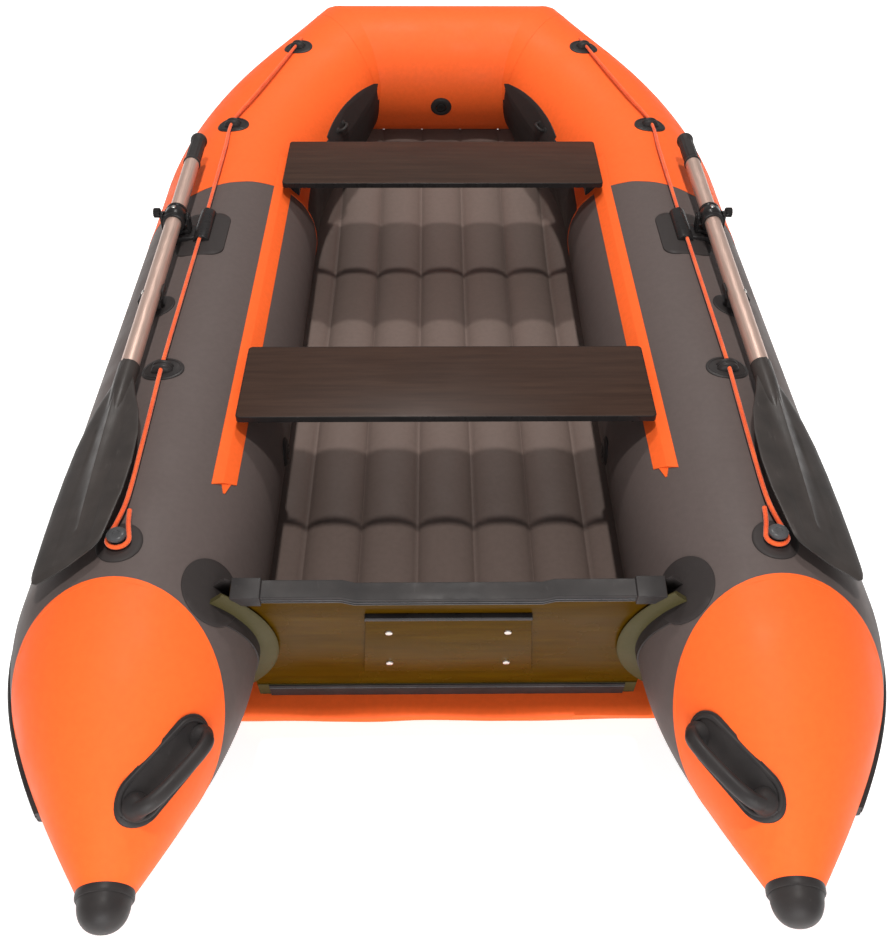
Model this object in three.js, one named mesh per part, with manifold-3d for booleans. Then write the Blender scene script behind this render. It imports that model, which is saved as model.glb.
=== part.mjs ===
// Inflatable boat: a U-shaped buoyancy tube with conical tails, a raked transom, an inflatable bottom,
// two sliding benches, a pair of oars in rowlocks and grab ropes along both sides.
// Millimetres. +X is starboard, +Y the bow, +Z up. The origin is under the middle of the boat.
// Everything is drawn on the starboard side and mirrored to port.

import * as THREE from "three";
import { mergeVertices } from "three/addons/utils/BufferGeometryUtils.js";
import Module from "manifold-3d";

const wasm = await Module();
wasm.setup();

const GAP = 0.3;
const FAR = 3000; // larger than the boat, for cutting regions

// Buoyancy tube
const TUBE_SIDES = 20;
const MAIN_RADIUS = 200;
const BOW_RADIUS = 173;
const TAIL_RADIUS = 40;
const SIDE_X = 525;
const TUBE_Z = 260;
const BOW_Z = 386;
const BOW_Y = 1171;
const BOW_CORNER_X = 279;
const BEND_Y = 764;
const BEND_RADIUS = 900;
const CORNER_RADIUS = 190;
const RISE_Y = 385; // the tube starts to rise and to slim towards the bow here
const TAIL_Y = -865; // the conical tail starts here
const TAIL_LENGTH = 435;
const TAIL_INWARD = 29;
const TAIL_DROP = 22;
const TAIL_SWEEP = 1.3;
const TAIL_CAP_LENGTH = 52.6;
const CROWN_Z = TUBE_Z + MAIN_RADIUS;

// Seams between the grey side tubes and the orange bow and tails
const TAIL_SEAM_Y = -1067;
const TAIL_SEAM_SLOPE = 0.886;
const BOW_SEAM_Y = 580;
const BOW_SEAM_SLOPE = 0.45;

// Inflatable bottom
const BOTTOM_HEIGHT = 118;
const BOTTOM_AFT_Y = -780;
const BOTTOM_MARGIN = 55; // how far its edge lies inside the tube's centre line
const BOTTOM_FORE_Y = 1112;

// Transom: heights are world heights, the board leans aft as it rises
const TRANSOM_Y = -812.2; // aft face at ground level
const TRANSOM_RAKE = Math.atan(0.1946);
const TRANSOM_THICKNESS = 25;
const TRANSOM_BOTTOM_Z = 41;
const TRANSOM_TOP_Z = 408;
const TRANSOM_NOTCH_Z = 399;
const TRANSOM_TOP_HALF = 352;
const HOLDER_SKIN = 3;

// Benches and the rails that they slide on
const BENCH_HALF = 390;
const BENCH_TOP_Z = 445;
const BENCH_THICKNESS = 12;
const REAR_BENCH = [-495, -280];
const FRONT_BENCH = [371, 588];
const RAIL_ANGLES = [124, 138];
const RAIL_RIB_ANGLES = [131.8, 134.2];
const RAIL_FORE_Y = 560;
const STARBOARD_RAIL_AFT_Y = -612;
const PORT_RAIL_AFT_Y = -650;

// Grab rope
const ROPE_RADIUS = 4;
const ROPE_ROUTE = [
  [390, 1026, 535], [400, 1000, 530.4], [446, 877, 512.8], [493, 754, 495.4], [539, 631, 477.8],
  [540, 505, 475], [540.5, 355, 471.8], [541, 205, 468.8], [541, 90, 468.6], [541.5, -60, 468.6],
  [542, -215, 468.6], [542, -370, 468.6], [539.5, -470, 468.7], [536, -610, 468.8], [532, -750, 468.8],
];
const ROPE_STEPS = 56;
const ANCHOR = [531, -820, 460];
const EYE_RADIUS = 17;
const EYE_Z = 468.8;

// Oar, lying along the tube at rest
const OAR = { x: 595, y: 120, z: 500 };
const OAR_SLOPE = THREE.MathUtils.degToRad(1.5); // the blade end lies lower
const SHAFT_RADIUS = 17.5;
const SHAFT_FORE = 232;
const SHAFT_AFT = -515;
const GRIP_LENGTH = 120;
const BLADE_LENGTH = 512;
const BLADE_ROLL = THREE.MathUtils.degToRad(20);
const BLADE_THICKNESS = 7;
const REST_Y = -150;
const SHELF_Z = 466; // the rowlock base's shelf that the swivel turns on
const SCREW_Y = 18; // the clamp screw, ahead of the collar's middle
const ROUND_SIDES = 16;

const ORANGE = { color: 0xf56a2c, roughness: 0.45 };
const GREY = { color: 0x595553, roughness: 0.5 };
const DARK_GREY = { color: 0x45423f, roughness: 0.55 };
const BLACK = { color: 0x201e1d, roughness: 0.5 };
const BENCH_BROWN = { color: 0x38231c, roughness: 0.35 };
const LACQUERED = { color: 0x4c3a12, roughness: 0.3 };
const ALUMINIUM = { color: 0xc9b8a6, roughness: 0.35, metalness: 0.8 };
const STEEL = { color: 0xb0aca4, roughness: 0.3, metalness: 1 };

// ---------------------------------------------------------------- solids and shapes

function toSolid(geometry) {
  const bare = geometry.clone();
  bare.deleteAttribute("normal");
  bare.deleteAttribute("uv");
  const merged = mergeVertices(bare, 1e-3);
  const corners = merged.index.array;
  const kept = [];
  for (let i = 0; i < corners.length; i += 3) {
    const [a, b, c] = corners.slice(i, i + 3);
    if (a !== b && b !== c && c !== a) kept.push(a, b, c);
  }
  return new wasm.Manifold(new wasm.Mesh({
    numProp: 3,
    vertProperties: new Float32Array(merged.attributes.position.array),
    triVerts: new Uint32Array(kept),
  }));
}

function toGeometry(solid) {
  const mesh = solid.getMesh();
  const geometry = new THREE.BufferGeometry();
  geometry.setAttribute("position", new THREE.BufferAttribute(new Float32Array(mesh.vertProperties), 3));
  geometry.setIndex(new THREE.BufferAttribute(new Uint32Array(mesh.triVerts), 1));
  geometry.computeVertexNormals();
  return geometry;
}

function mirrored(solid) {
  const geometry = toGeometry(solid);
  geometry.scale(-1, 1, 1);
  const index = geometry.index.array;
  for (let i = 0; i < index.length; i += 3) [index[i + 1], index[i + 2]] = [index[i + 2], index[i + 1]];
  return toSolid(geometry);
}

function box(low, high) {
  const size = high.map((value, i) => value - low[i]);
  const middle = high.map((value, i) => (value + low[i]) / 2);
  return toSolid(new THREE.BoxGeometry(...size).translate(...middle));
}

// A prism of an outline: its plane's two directions come first in the basis, then the way it is drawn out.
function prism(outline, length, matrix) {
  const shape = outline instanceof THREE.Shape ? outline : new THREE.Shape(outline.map(([a, b]) => new THREE.Vector2(a, b)));
  const geometry = new THREE.ExtrudeGeometry(shape, { depth: length, bevelEnabled: false, curveSegments: 4 });
  return toSolid(geometry.applyMatrix4(matrix));
}

function planPrism(outline, lowZ, highZ) {
  return prism(outline, highZ - lowZ, new THREE.Matrix4().makeTranslation(0, 0, lowZ));
}

// An outline of (y, z) points drawn out along X.
function profilePrism(outline, lowX, highX) {
  const basis = new THREE.Matrix4().makeBasis(axisY(), axisZ(), axisX());
  return prism(outline, highX - lowX, basis.setPosition(lowX, 0, 0));
}

// An outline of (x, z) points drawn out along Y. Its plane looks aft, so the prism grows from the fore end.
function sectionPrism(outline, lowY, highY) {
  const basis = new THREE.Matrix4().makeBasis(axisX(), axisZ(), axisY().negate());
  return prism(outline, highY - lowY, basis.setPosition(0, highY, 0));
}

// A turned piece about the local Z axis, from (radius, height) points that start and end on the axis.
function turned(profile, matrix, sides = ROUND_SIDES) {
  const points = profile.map(([radius, height]) => new THREE.Vector2(radius, height));
  const geometry = new THREE.LatheGeometry(points, sides).rotateX(Math.PI / 2);
  return toSolid(geometry.applyMatrix4(matrix));
}

function rod(radius, low, high, matrix, sides = ROUND_SIDES) {
  return turned([[0, low], [radius, low], [radius, high], [0, high]], matrix, sides);
}

function roundSection(radius, sides) {
  return new THREE.Shape(new THREE.EllipseCurve(0, 0, radius, radius).getPoints(sides).slice(0, sides));
}

function bar(points, radius, steps, sides, matrix = new THREE.Matrix4()) {
  const path = new THREE.CatmullRomCurve3(points.map((p) => new THREE.Vector3(...p)));
  const options = { steps, extrudePath: path, bevelEnabled: false };
  return toSolid(new THREE.ExtrudeGeometry(roundSection(radius, sides), options).applyMatrix4(matrix));
}

function ellipse(across, along) {
  return new THREE.Shape(new THREE.EllipseCurve(0, 0, across, along).getPoints(16).slice(0, 16));
}

function roundedRectangle(width, length, radius) {
  const shape = new THREE.Shape();
  const [x, y] = [width / 2, length / 2];
  shape.moveTo(-x + radius, -y);
  shape.lineTo(x - radius, -y);
  shape.absarc(x - radius, -y + radius, radius, -Math.PI / 2, 0);
  shape.lineTo(x, y - radius);
  shape.absarc(x - radius, y - radius, radius, 0, Math.PI / 2);
  shape.lineTo(-x + radius, y);
  shape.absarc(-x + radius, y - radius, radius, Math.PI / 2, Math.PI);
  shape.lineTo(-x, -y + radius);
  shape.absarc(-x + radius, -y + radius, radius, Math.PI, Math.PI * 1.5);
  return shape;
}

function axisX() {
  return new THREE.Vector3(1, 0, 0);
}

function axisY() {
  return new THREE.Vector3(0, 1, 0);
}

function axisZ() {
  return new THREE.Vector3(0, 0, 1);
}

// ---------------------------------------------------------------- buoyancy tube

function roundedCorner(before, corner, after, radius, steps) {
  const back = before.clone().sub(corner).normalize();
  const ahead = after.clone().sub(corner).normalize();
  const half = Math.acos(back.dot(ahead)) / 2;
  const middle = back.clone().add(ahead).normalize();
  const centre = corner.clone().addScaledVector(middle, radius / Math.sin(half));
  const start = corner.clone().addScaledVector(back, radius / Math.tan(half)).sub(centre).angle();
  const sweep = Math.PI - 2 * half;
  return Array.from({ length: steps + 1 }, (_, i) => {
    const angle = start + (sweep * i) / steps;
    return new THREE.Vector2(centre.x + radius * Math.cos(angle), centre.y + radius * Math.sin(angle));
  });
}

function tailStation(t) {
  const sweep = t ** TAIL_SWEEP;
  return {
    centre: new THREE.Vector3(SIDE_X - TAIL_INWARD * sweep, TAIL_Y - TAIL_LENGTH * t, TUBE_Z - TAIL_DROP * sweep),
    radius: TAIL_RADIUS + (MAIN_RADIUS - TAIL_RADIUS) * Math.cos((Math.PI / 2) * t),
  };
}

function forwardStation(plan) {
  const rise = THREE.MathUtils.clamp((plan.y - RISE_Y) / (BOW_Y - RISE_Y), 0, 1) ** 2;
  return {
    centre: new THREE.Vector3(plan.x, plan.y, TUBE_Z + (BOW_Z - TUBE_Z) * rise),
    radius: MAIN_RADIUS + (BOW_RADIUS - MAIN_RADIUS) * rise,
  };
}

// Stations of the tube's centre line from the starboard tail to the middle of the bow.
function halfAxis() {
  const bend = new THREE.Vector2(SIDE_X, BEND_Y);
  const corner = new THREE.Vector2(BOW_CORNER_X, BOW_Y);
  const straight = [0, RISE_Y, RISE_Y + 70].map((y) => new THREE.Vector2(SIDE_X, y));
  const plan = [
    ...straight,
    ...roundedCorner(new THREE.Vector2(SIDE_X, 0), bend, corner, BEND_RADIUS, 6),
    ...roundedCorner(bend, corner, new THREE.Vector2(0, BOW_Y), CORNER_RADIUS, 5),
    new THREE.Vector2(0, BOW_Y),
  ];
  const tail = [1, 0.88, 0.74, 0.58, 0.4, 0.2, 0].map(tailStation);
  return [...tail, ...plan.map(forwardStation)];
}

function mirroredStation({ centre, radius }) {
  return { centre: centre.clone().setX(-centre.x), radius };
}

const HALF_AXIS = halfAxis();
const FULL_AXIS = [...HALF_AXIS, ...HALF_AXIS.slice(0, -1).reverse().map(mirroredStation)];
const hulls = new Map();

function axisTangent(stations, i) {
  const before = stations[Math.max(i - 1, 0)].centre;
  const after = stations[Math.min(i + 1, stations.length - 1)].centre;
  return after.clone().sub(before).normalize();
}

// The whole buoyancy tube, grown by extra, as one closed loft. All its versions have the same facets.
function hull(extra) {
  if (hulls.has(extra)) return hulls.get(extra);
  const positions = [];
  const index = [];
  const last = FULL_AXIS.length - 1;
  FULL_AXIS.forEach(({ centre, radius }, i) => {
    const tangent = axisTangent(FULL_AXIS, i);
    const outboard = tangent.clone().cross(axisZ()).normalize();
    const up = outboard.clone().cross(tangent);
    for (let j = 0; j < TUBE_SIDES; j++) {
      const angle = (2 * Math.PI * j) / TUBE_SIDES;
      const point = centre.clone()
        .addScaledVector(outboard, (radius + extra) * Math.cos(angle))
        .addScaledVector(up, (radius + extra) * Math.sin(angle));
      positions.push(point.x, point.y, point.z);
    }
  });
  for (let i = 0; i < last; i++) {
    const starboard = i < last / 2;
    for (let j = 0; j < TUBE_SIDES; j++) {
      const next = (j + 1) % TUBE_SIDES;
      const [a, b] = [i * TUBE_SIDES + j, i * TUBE_SIDES + next];
      const [c, d] = [a + TUBE_SIDES, b + TUBE_SIDES];
      index.push(...(starboard ? [a, c, b, b, c, d] : [a, c, d, a, d, b]));
    }
  }
  for (let j = 1; j + 1 < TUBE_SIDES; j++) {
    const end = last * TUBE_SIDES;
    index.push(0, j, j + 1, end, end + j + 1, end + j);
  }
  const geometry = new THREE.BufferGeometry();
  geometry.setAttribute("position", new THREE.Float32BufferAttribute(positions, 3));
  geometry.setIndex(index);
  hulls.set(extra, toSolid(geometry));
  return hulls.get(extra);
}

// The tube with a skin of this thickness glued round it. What is cut from it is then seated.
function coated(thickness) {
  return hull(GAP + thickness);
}

// A piece on the tube keeps only what stands outside it.
function seated(solid) {
  return solid.subtract(hull(GAP));
}

// The frame of a spot on the starboard tube's surface: X points across the tube, Y along it, Z out of it.
function tubeFrame([x, y, z], direction) {
  const point = new THREE.Vector3(x, y, z);
  let nearest = { distance: Infinity };
  for (let i = 0; i + 1 < HALF_AXIS.length; i++) {
    const [a, b] = [HALF_AXIS[i], HALF_AXIS[i + 1]];
    const span = b.centre.clone().sub(a.centre);
    const share = THREE.MathUtils.clamp(point.clone().sub(a.centre).dot(span) / span.lengthSq(), 0, 1);
    const centre = a.centre.clone().lerp(b.centre, share);
    const distance = centre.distanceTo(point);
    if (distance < nearest.distance) nearest = { distance, centre, span, share, a, b };
  }
  const { centre, span, share, a, b } = nearest;
  const outward = point.clone().sub(centre).normalize();
  const surface = centre.clone().addScaledVector(outward, THREE.MathUtils.lerp(a.radius, b.radius, share));
  const taper = (b.radius - a.radius) / span.length();
  const normal = outward.addScaledVector(span.clone().normalize(), -taper).normalize();
  const along = (direction ? new THREE.Vector3(...direction) : span).clone().projectOnPlane(normal).normalize();
  const across = along.clone().cross(normal);
  return new THREE.Matrix4().makeBasis(across, along, normal).setPosition(surface);
}

// A patch glued to the tube: an outline in the frame's plane, reaching down to be seated on the tube.
function patch(frame, outline, thickness, depth = 60) {
  return patchRegion(frame, outline, depth).intersect(coated(thickness));
}

function patchRegion(frame, outline, depth = 60) {
  const down = frame.clone().multiply(new THREE.Matrix4().makeTranslation(0, 0, -depth));
  return prism(outline, depth * 1.6, down);
}

// Everything aft of (or, turned round, ahead of) the raked seam between a side tube and its tail.
function behindTailSeam(inset, turn) {
  const rake = -Math.atan(TAIL_SEAM_SLOPE);
  const block = new THREE.BoxGeometry(FAR, FAR, FAR).translate(0, turn * (-FAR / 2 - inset), 0);
  return toSolid(block.rotateX(rake).translate(0, TAIL_SEAM_Y, TUBE_Z));
}

function bowSeamY(x) {
  return BOW_SEAM_Y - BOW_SEAM_SLOPE * Math.abs(x);
}

function bowRegion() {
  const edge = [-FAR, 0, FAR].map((x) => [x, bowSeamY(x) + GAP]);
  return planPrism([...edge, [FAR, FAR], [-FAR, FAR]], -FAR, FAR);
}

function sideRegion() {
  return planPrism([[10, -FAR], [FAR, -FAR], [FAR, bowSeamY(FAR)], [10, bowSeamY(10)]], -FAR, FAR);
}

function sideTube() {
  return hull(0).intersect(sideRegion()).intersect(behindTailSeam(GAP / 2, -1));
}

function tailCone() {
  return hull(0).intersect(sideRegion()).intersect(behindTailSeam(GAP / 2, 1));
}

function bowTube() {
  return hull(0).intersect(bowRegion());
}

function tailCap() {
  const tip = HALF_AXIS[0];
  const aft = axisTangent(HALF_AXIS, 0).negate();
  const turn = new THREE.Quaternion().setFromUnitVectors(axisZ(), aft);
  const frame = new THREE.Matrix4().compose(tip.centre, turn, new THREE.Vector3(1, 1, 1));
  const profile = [[0, GAP], [TAIL_RADIUS - 1.5, GAP], [TAIL_RADIUS, 4], [TAIL_RADIUS - 2, 20]];
  profile.push([TAIL_RADIUS - 10, 36], [TAIL_RADIUS - 24, TAIL_CAP_LENGTH - 4], [0, TAIL_CAP_LENGTH]);
  return turned(profile, frame);
}

function rubbingStrake() {
  const [low, high] = [-8, 7];
  const run = planPrism([[1, -1175], [FAR, -1175], [FAR, FAR], [1, FAR]], -FAR, FAR);
  const height = (station, angle) => station.centre.z + station.radius * Math.sin(THREE.MathUtils.degToRad(angle));
  const line = HALF_AXIS.map((station) => [station.centre.y, station]);
  const lower = line.map(([y, station]) => [y, height(station, low)]);
  const upper = line.map(([y, station]) => [y, height(station, high)]).reverse();
  const beyond = [[BOW_Y + 250, lower.at(-1)[1]], [BOW_Y + 250, upper[0][1]]];
  const uniqueEnds = (points) => points.filter(([y], i) => i === 0 || Math.abs(y - points[i - 1][0]) > 1);
  const belt = profilePrism([...uniqueEnds(lower), ...beyond, ...uniqueEnds(upper)], 0, FAR);
  const outside = outerSide();
  return seated(coated(8).intersect(run).intersect(belt).intersect(outside));
}

// The region outboard of the tube's centre line.
function outerSide() {
  const line = HALF_AXIS.map(({ centre }) => [centre.x, centre.y]);
  return planPrism([[FAR, -FAR], [FAR, FAR], [0, FAR], ...line.reverse(), [line.at(-1)[0], -FAR]], -FAR, FAR);
}

// ---------------------------------------------------------------- bottom and transom

function bottomOutline() {
  const stations = HALF_AXIS.filter(({ centre }) => centre.y >= RISE_Y);
  const edge = stations.map(({ centre }, i) => {
    const inboard = axisTangent(stations, i).cross(axisZ()).setZ(0).normalize().negate();
    return [centre.x + inboard.x * BOTTOM_MARGIN, centre.y + inboard.y * BOTTOM_MARGIN];
  });
  const half = [[SIDE_X - BOTTOM_MARGIN, BOTTOM_AFT_Y], ...edge.filter(([x]) => x > 1)];
  return [...half, ...half.map(([x, y]) => [-x, y]).reverse()];
}

// Side view of the bottom: flat on the ground, rising under the bow with the tube.
function bottomProfile() {
  const rise = (y) => THREE.MathUtils.clamp((y - RISE_Y) / (BOW_Y - RISE_Y), 0, 1) ** 2;
  const steps = [RISE_Y, 520, 640, 760, 880, 1000, BOTTOM_FORE_Y];
  const under = steps.map((y) => [y, (BOW_Z - BOW_RADIUS - 8) * rise(y)]);
  const over = steps.map((y) => [y, BOTTOM_HEIGHT + (BOW_Z - BOW_RADIUS - BOTTOM_HEIGHT + 38) * rise(y)]);
  return [[BOTTOM_AFT_Y, 0], ...under, ...over.reverse(), [BOTTOM_AFT_Y, BOTTOM_HEIGHT]];
}

function inflatableBottom() {
  const slab = profilePrism(bottomProfile(), -SIDE_X, SIDE_X);
  return seated(slab.intersect(planPrism(bottomOutline(), -10, FAR)));
}

// The transom's own frame: X to starboard, Y up the board, Z aft of its aft face.
function transomPrism(outline, low, high) {
  const lean = new THREE.Matrix4().makeRotationX(Math.PI / 2 + TRANSOM_RAKE);
  const place = new THREE.Matrix4().makeTranslation(0, TRANSOM_Y, 0).multiply(lean);
  return prism(outline, high - low, place.multiply(new THREE.Matrix4().makeTranslation(0, 0, low)));
}

function upBoard(z) {
  return z / Math.cos(TRANSOM_RAKE);
}

// The board's top edge from starboard to port, lower in the middle where the motor hangs.
function transomTop(half, raise) {
  const high = upBoard(TRANSOM_TOP_Z) + raise;
  const low = upBoard(TRANSOM_NOTCH_Z) + raise;
  return [[half, high], [172, high], [152, low], [-152, low], [-172, high], [-half, high]];
}

function transomBoard() {
  const foot = upBoard(TRANSOM_BOTTOM_Z);
  const half = TRANSOM_TOP_HALF;
  const outline = [[-half, foot], [half, foot], ...transomTop(half, 0)];
  return transomPrism(outline, -TRANSOM_THICKNESS, 0).subtract(hull(HOLDER_SKIN + 2 * GAP));
}

function transomTopTrim() {
  const half = TRANSOM_TOP_HALF - 2;
  const strip = [...transomTop(half, 5), ...transomTop(half, -13).reverse()];
  const slot = [...transomTop(FAR, GAP), [-FAR, 0], [FAR, 0]];
  const cover = transomPrism(strip, -TRANSOM_THICKNESS - 4, 4);
  const endHigh = upBoard(TRANSOM_TOP_Z) + 8;
  const endBlocks = [-1, 1].map((side) => {
    const [inner, outer] = [side * 302, side * half];
    const outline = side > 0
      ? [[inner, endHigh - 26], [outer, endHigh - 26], [outer, endHigh], [inner, endHigh]]
      : [[outer, endHigh - 26], [inner, endHigh - 26], [inner, endHigh], [outer, endHigh]];
    return transomPrism(outline, -TRANSOM_THICKNESS - 7, 7);
  });
  const whole = endBlocks.reduce((sum, block) => sum.add(block), cover);
  const channel = transomPrism(slot, -TRANSOM_THICKNESS - GAP, GAP);
  return whole.subtract(channel).subtract(hull(HOLDER_SKIN + 2 * GAP));
}

function transomFootProfile() {
  const [low, high] = [upBoard(TRANSOM_BOTTOM_Z + 1), upBoard(TRANSOM_BOTTOM_Z + 41)];
  const strip = transomPrism([[-SIDE_X, low], [SIDE_X, low], [SIDE_X, high], [-SIDE_X, high]], GAP, 4.5);
  return strip.intersect(box([-330, -FAR, -FAR], [330, FAR, FAR])).subtract(hull(HOLDER_SKIN + 2 * GAP));
}

function transomSkirt() {
  const aft = BOTTOM_AFT_Y - GAP;
  const profile = [[aft, 0], [-846, 0], [-866, 14], [-873, 32], [-868, 39], [-855, 40.5], [aft, 40.5]];
  return seated(profilePrism(profile.reverse(), -387, 387));
}

function transomHolder() {
  const [foot, top] = [upBoard(TRANSOM_BOTTOM_Z + 46), upBoard(TRANSOM_TOP_Z - 24)];
  const flange = (low, high) => {
    const [inner, outer] = [SIDE_X - MAIN_RADIUS - 36, SIDE_X - 120];
    const slab = transomPrism([[inner, foot], [outer, foot], [outer, top], [inner, top]], low, high);
    return slab.intersect(hull(36));
  };
  const skinTop = upBoard(TRANSOM_TOP_Z + 22);
  const skinEdge = SIDE_X - 112;
  const skinRegion = transomPrism([[0, foot], [skinEdge, foot], [skinEdge, skinTop], [0, skinTop]], -46, 36);
  const crownRegion = patchRegion(tubeFrame([382, -872, 399]), ellipse(58, 58));
  const skin = skinRegion.add(crownRegion).intersect(coated(HOLDER_SKIN));
  const aftFlange = flange(GAP, 9.5);
  const foreFlange = flange(-TRANSOM_THICKNESS - 6, -TRANSOM_THICKNESS - GAP);
  return seated(skin.add(aftFlange).add(foreFlange));
}

function motorPlate() {
  const outline = [[-150, 149], [150, 149], [137, 342], [-137, 342]].map(([x, z]) => [x, upBoard(z)]);
  const plate = transomPrism(outline, GAP, 8);
  const bolts = [[100, 300], [-100, 300], [103, 186], [-103, 186]].map(([x, z]) => {
    const head = new THREE.Shape(new THREE.EllipseCurve(x, upBoard(z), 7, 7).getPoints(8).slice(0, 8));
    return transomPrism(head, 6, 11);
  });
  return bolts.reduce((sum, bolt) => sum.add(bolt), plate);
}

function motorPlateStrip() {
  const [low, high] = [upBoard(342.5), upBoard(353)];
  return transomPrism([[-139, low], [139, low], [138, high], [-138, high]], GAP, 10);
}

// ---------------------------------------------------------------- rails and benches

// A wedge about the side tube's axis between two angles from the outboard side, over a stretch of Y.
function axisWedge([from, to], lowY, highY) {
  const reach = 2 * MAIN_RADIUS;
  const spoke = (angle) => {
    const turn = THREE.MathUtils.degToRad(angle);
    return [SIDE_X + reach * Math.cos(turn), TUBE_Z + reach * Math.sin(turn)];
  };
  return sectionPrism([[SIDE_X, TUBE_Z], spoke(from), spoke(to)], lowY, highY);
}

function seatRail(aftY) {
  const strip = coated(2.2).intersect(axisWedge(RAIL_ANGLES, aftY, RAIL_FORE_Y));
  const rib = coated(9).intersect(axisWedge(RAIL_RIB_ANGLES, aftY + 12, RAIL_FORE_Y - 1));
  return seated(strip.add(rib));
}

function bench([aftY, foreY]) {
  const outline = roundedRectangle(2 * BENCH_HALF, foreY - aftY, 8);
  const place = new THREE.Matrix4().makeTranslation(0, (aftY + foreY) / 2, BENCH_TOP_Z - BENCH_THICKNESS);
  return prism(outline, BENCH_THICKNESS, place);
}

// The slide under a bench end, slotted over the rail's rib.
function benchSlide([aftY, foreY]) {
  const [low, high] = [aftY + 18, foreY - 18];
  const block = box([358, low, 380], [BENCH_HALF - 1, high, BENCH_TOP_Z - BENCH_THICKNESS - GAP]);
  const slot = hull(11.5).intersect(axisWedge([RAIL_RIB_ANGLES[0] - 0.8, RAIL_RIB_ANGLES[1] + 0.8], -FAR, FAR));
  return block.subtract(hull(3.4)).subtract(slot);
}

// ---------------------------------------------------------------- fittings on the tube

function valveFrame() {
  const frame = tubeFrame([1, 1003, 344]);
  const spot = new THREE.Vector3().setFromMatrixPosition(frame).setX(0);
  return frame.setPosition(spot);
}

function bowValve() {
  const ring = turned([[0, -6], [28, -6], [28, 2], [25, 5], [18, 6], [0, 6]], valveFrame());
  return seated(ring).subtract(rod(15, -20, 20, valveFrame()));
}

function bowValveCap() {
  return turned([[0, 1], [14.5, 1], [14.5, 4.5], [12.5, 6.5], [0, 6.5]], valveFrame());
}

function sideValve() {
  const frame = tubeFrame([SIDE_X - MAIN_RADIUS, -388, TUBE_Z]);
  return seated(turned([[0, -6], [28, -6], [28, 2], [25, 5], [15, 6], [13, 8], [0, 8]], frame));
}

function ropeSpace() {
  return bar(ROPE_ROUTE, ROPE_RADIUS + 0.6, ROPE_STEPS, 8);
}

function ropeHolder(spot, direction) {
  const frame = tubeFrame(spot, direction);
  const pad = patch(frame, ellipse(42, 33), 2.5);
  const dome = new THREE.SphereGeometry(1, 10, 6).scale(22, 15, 17.5).applyMatrix4(frame);
  return seated(toSolid(dome).add(pad)).subtract(ropeSpace());
}

function tailAnchor() {
  const frame = tubeFrame(ANCHOR);
  const spool = turned([[0, -5], [14, -5], [14, 2], [10.5, 4], [10.5, 15], [16, 17], [16, 21], [12, 24], [0, 24]], frame);
  return seated(spool.add(patch(frame, ellipse(38, 42), 2.5)));
}

function grabRope() {
  const lead = bar(ROPE_ROUTE, ROPE_RADIUS, ROPE_STEPS, 8);
  const [x, y] = ANCHOR;
  const aftTurn = Array.from({ length: 7 }, (_, i) => {
    const angle = -(Math.PI * i) / 6;
    return [x + EYE_RADIUS * Math.cos(angle), y + EYE_RADIUS * Math.sin(angle), EYE_Z];
  });
  const [start] = ROPE_ROUTE.slice(-1);
  const eye = [[start[0] + 2, start[1] + 4, EYE_Z], ...aftTurn, [start[0] - 2, start[1] + 4, EYE_Z]];
  return lead.add(bar(eye, ROPE_RADIUS, 18, 8));
}

function bowLoop() {
  const leafDirection = [110, -225, -59];
  const leafFrame = tubeFrame([240, 880, 382], leafDirection);
  const leaf = new THREE.Shape();
  leaf.moveTo(0, -150);
  leaf.quadraticCurveTo(62, -20, 30, 150);
  leaf.lineTo(-30, 150);
  leaf.quadraticCurveTo(-62, -20, 0, -150);
  const loopFrame = tubeFrame([280, 815, 372], leafDirection);
  const loop = bar([[0, -17, -8], [0, -16, 8], [0, -8, 19], [0, 8, 19], [0, 16, 8], [0, 17, -8]], 5, 10, 8, loopFrame);
  return seated(patch(leafFrame, leaf, 2.2, 80).add(loop));
}

function sternHandle() {
  const frame = tubeFrame([411, -1160, 340], [-85, 130, -4]);
  const pad = patch(frame, roundedRectangle(88, 226, 43), 3.5);
  const arch = [[-6, -86, -12], [-6, -84, 12], [-6, -66, 28], [-6, -30, 34], [-6, 30, 34], [-6, 66, 28], [-6, 84, 12],
    [-6, 86, -12]];
  return seated(bar(arch, 10.5, 14, 8, frame).add(pad));
}

// ---------------------------------------------------------------- rowlocks and oars

function oarRest() {
  const frame = tubeFrame([OAR.x, REST_Y, CROWN_Z]);
  const pad = patch(frame, ellipse(36, 36), 2.5);
  const axisZAtRest = OAR.z + (REST_Y - OAR.y) * Math.tan(OAR_SLOPE);
  const [inner, outer] = [SHAFT_RADIUS + 0.9, SHAFT_RADIUS + 6];
  const cradle = new THREE.Shape();
  const [from, to] = [THREE.MathUtils.degToRad(167), THREE.MathUtils.degToRad(283)];
  cradle.absarc(OAR.x, axisZAtRest, outer, from, to, false);
  cradle.absarc(OAR.x, axisZAtRest, inner, to, from, true);
  const lip = axisZAtRest - SHAFT_RADIUS - 1;
  const [left, right] = [OAR.x - 12, OAR.x + 34];
  const foot = [[left, CROWN_Z - 30], [right, CROWN_Z - 30], [right, lip], [OAR.x, lip], [left, lip - 2]];
  const post = sectionPrism(foot, REST_Y - 11, REST_Y + 11);
  return seated(sectionPrism(cradle, REST_Y - 14, REST_Y + 14).add(post).add(pad));
}

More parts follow.
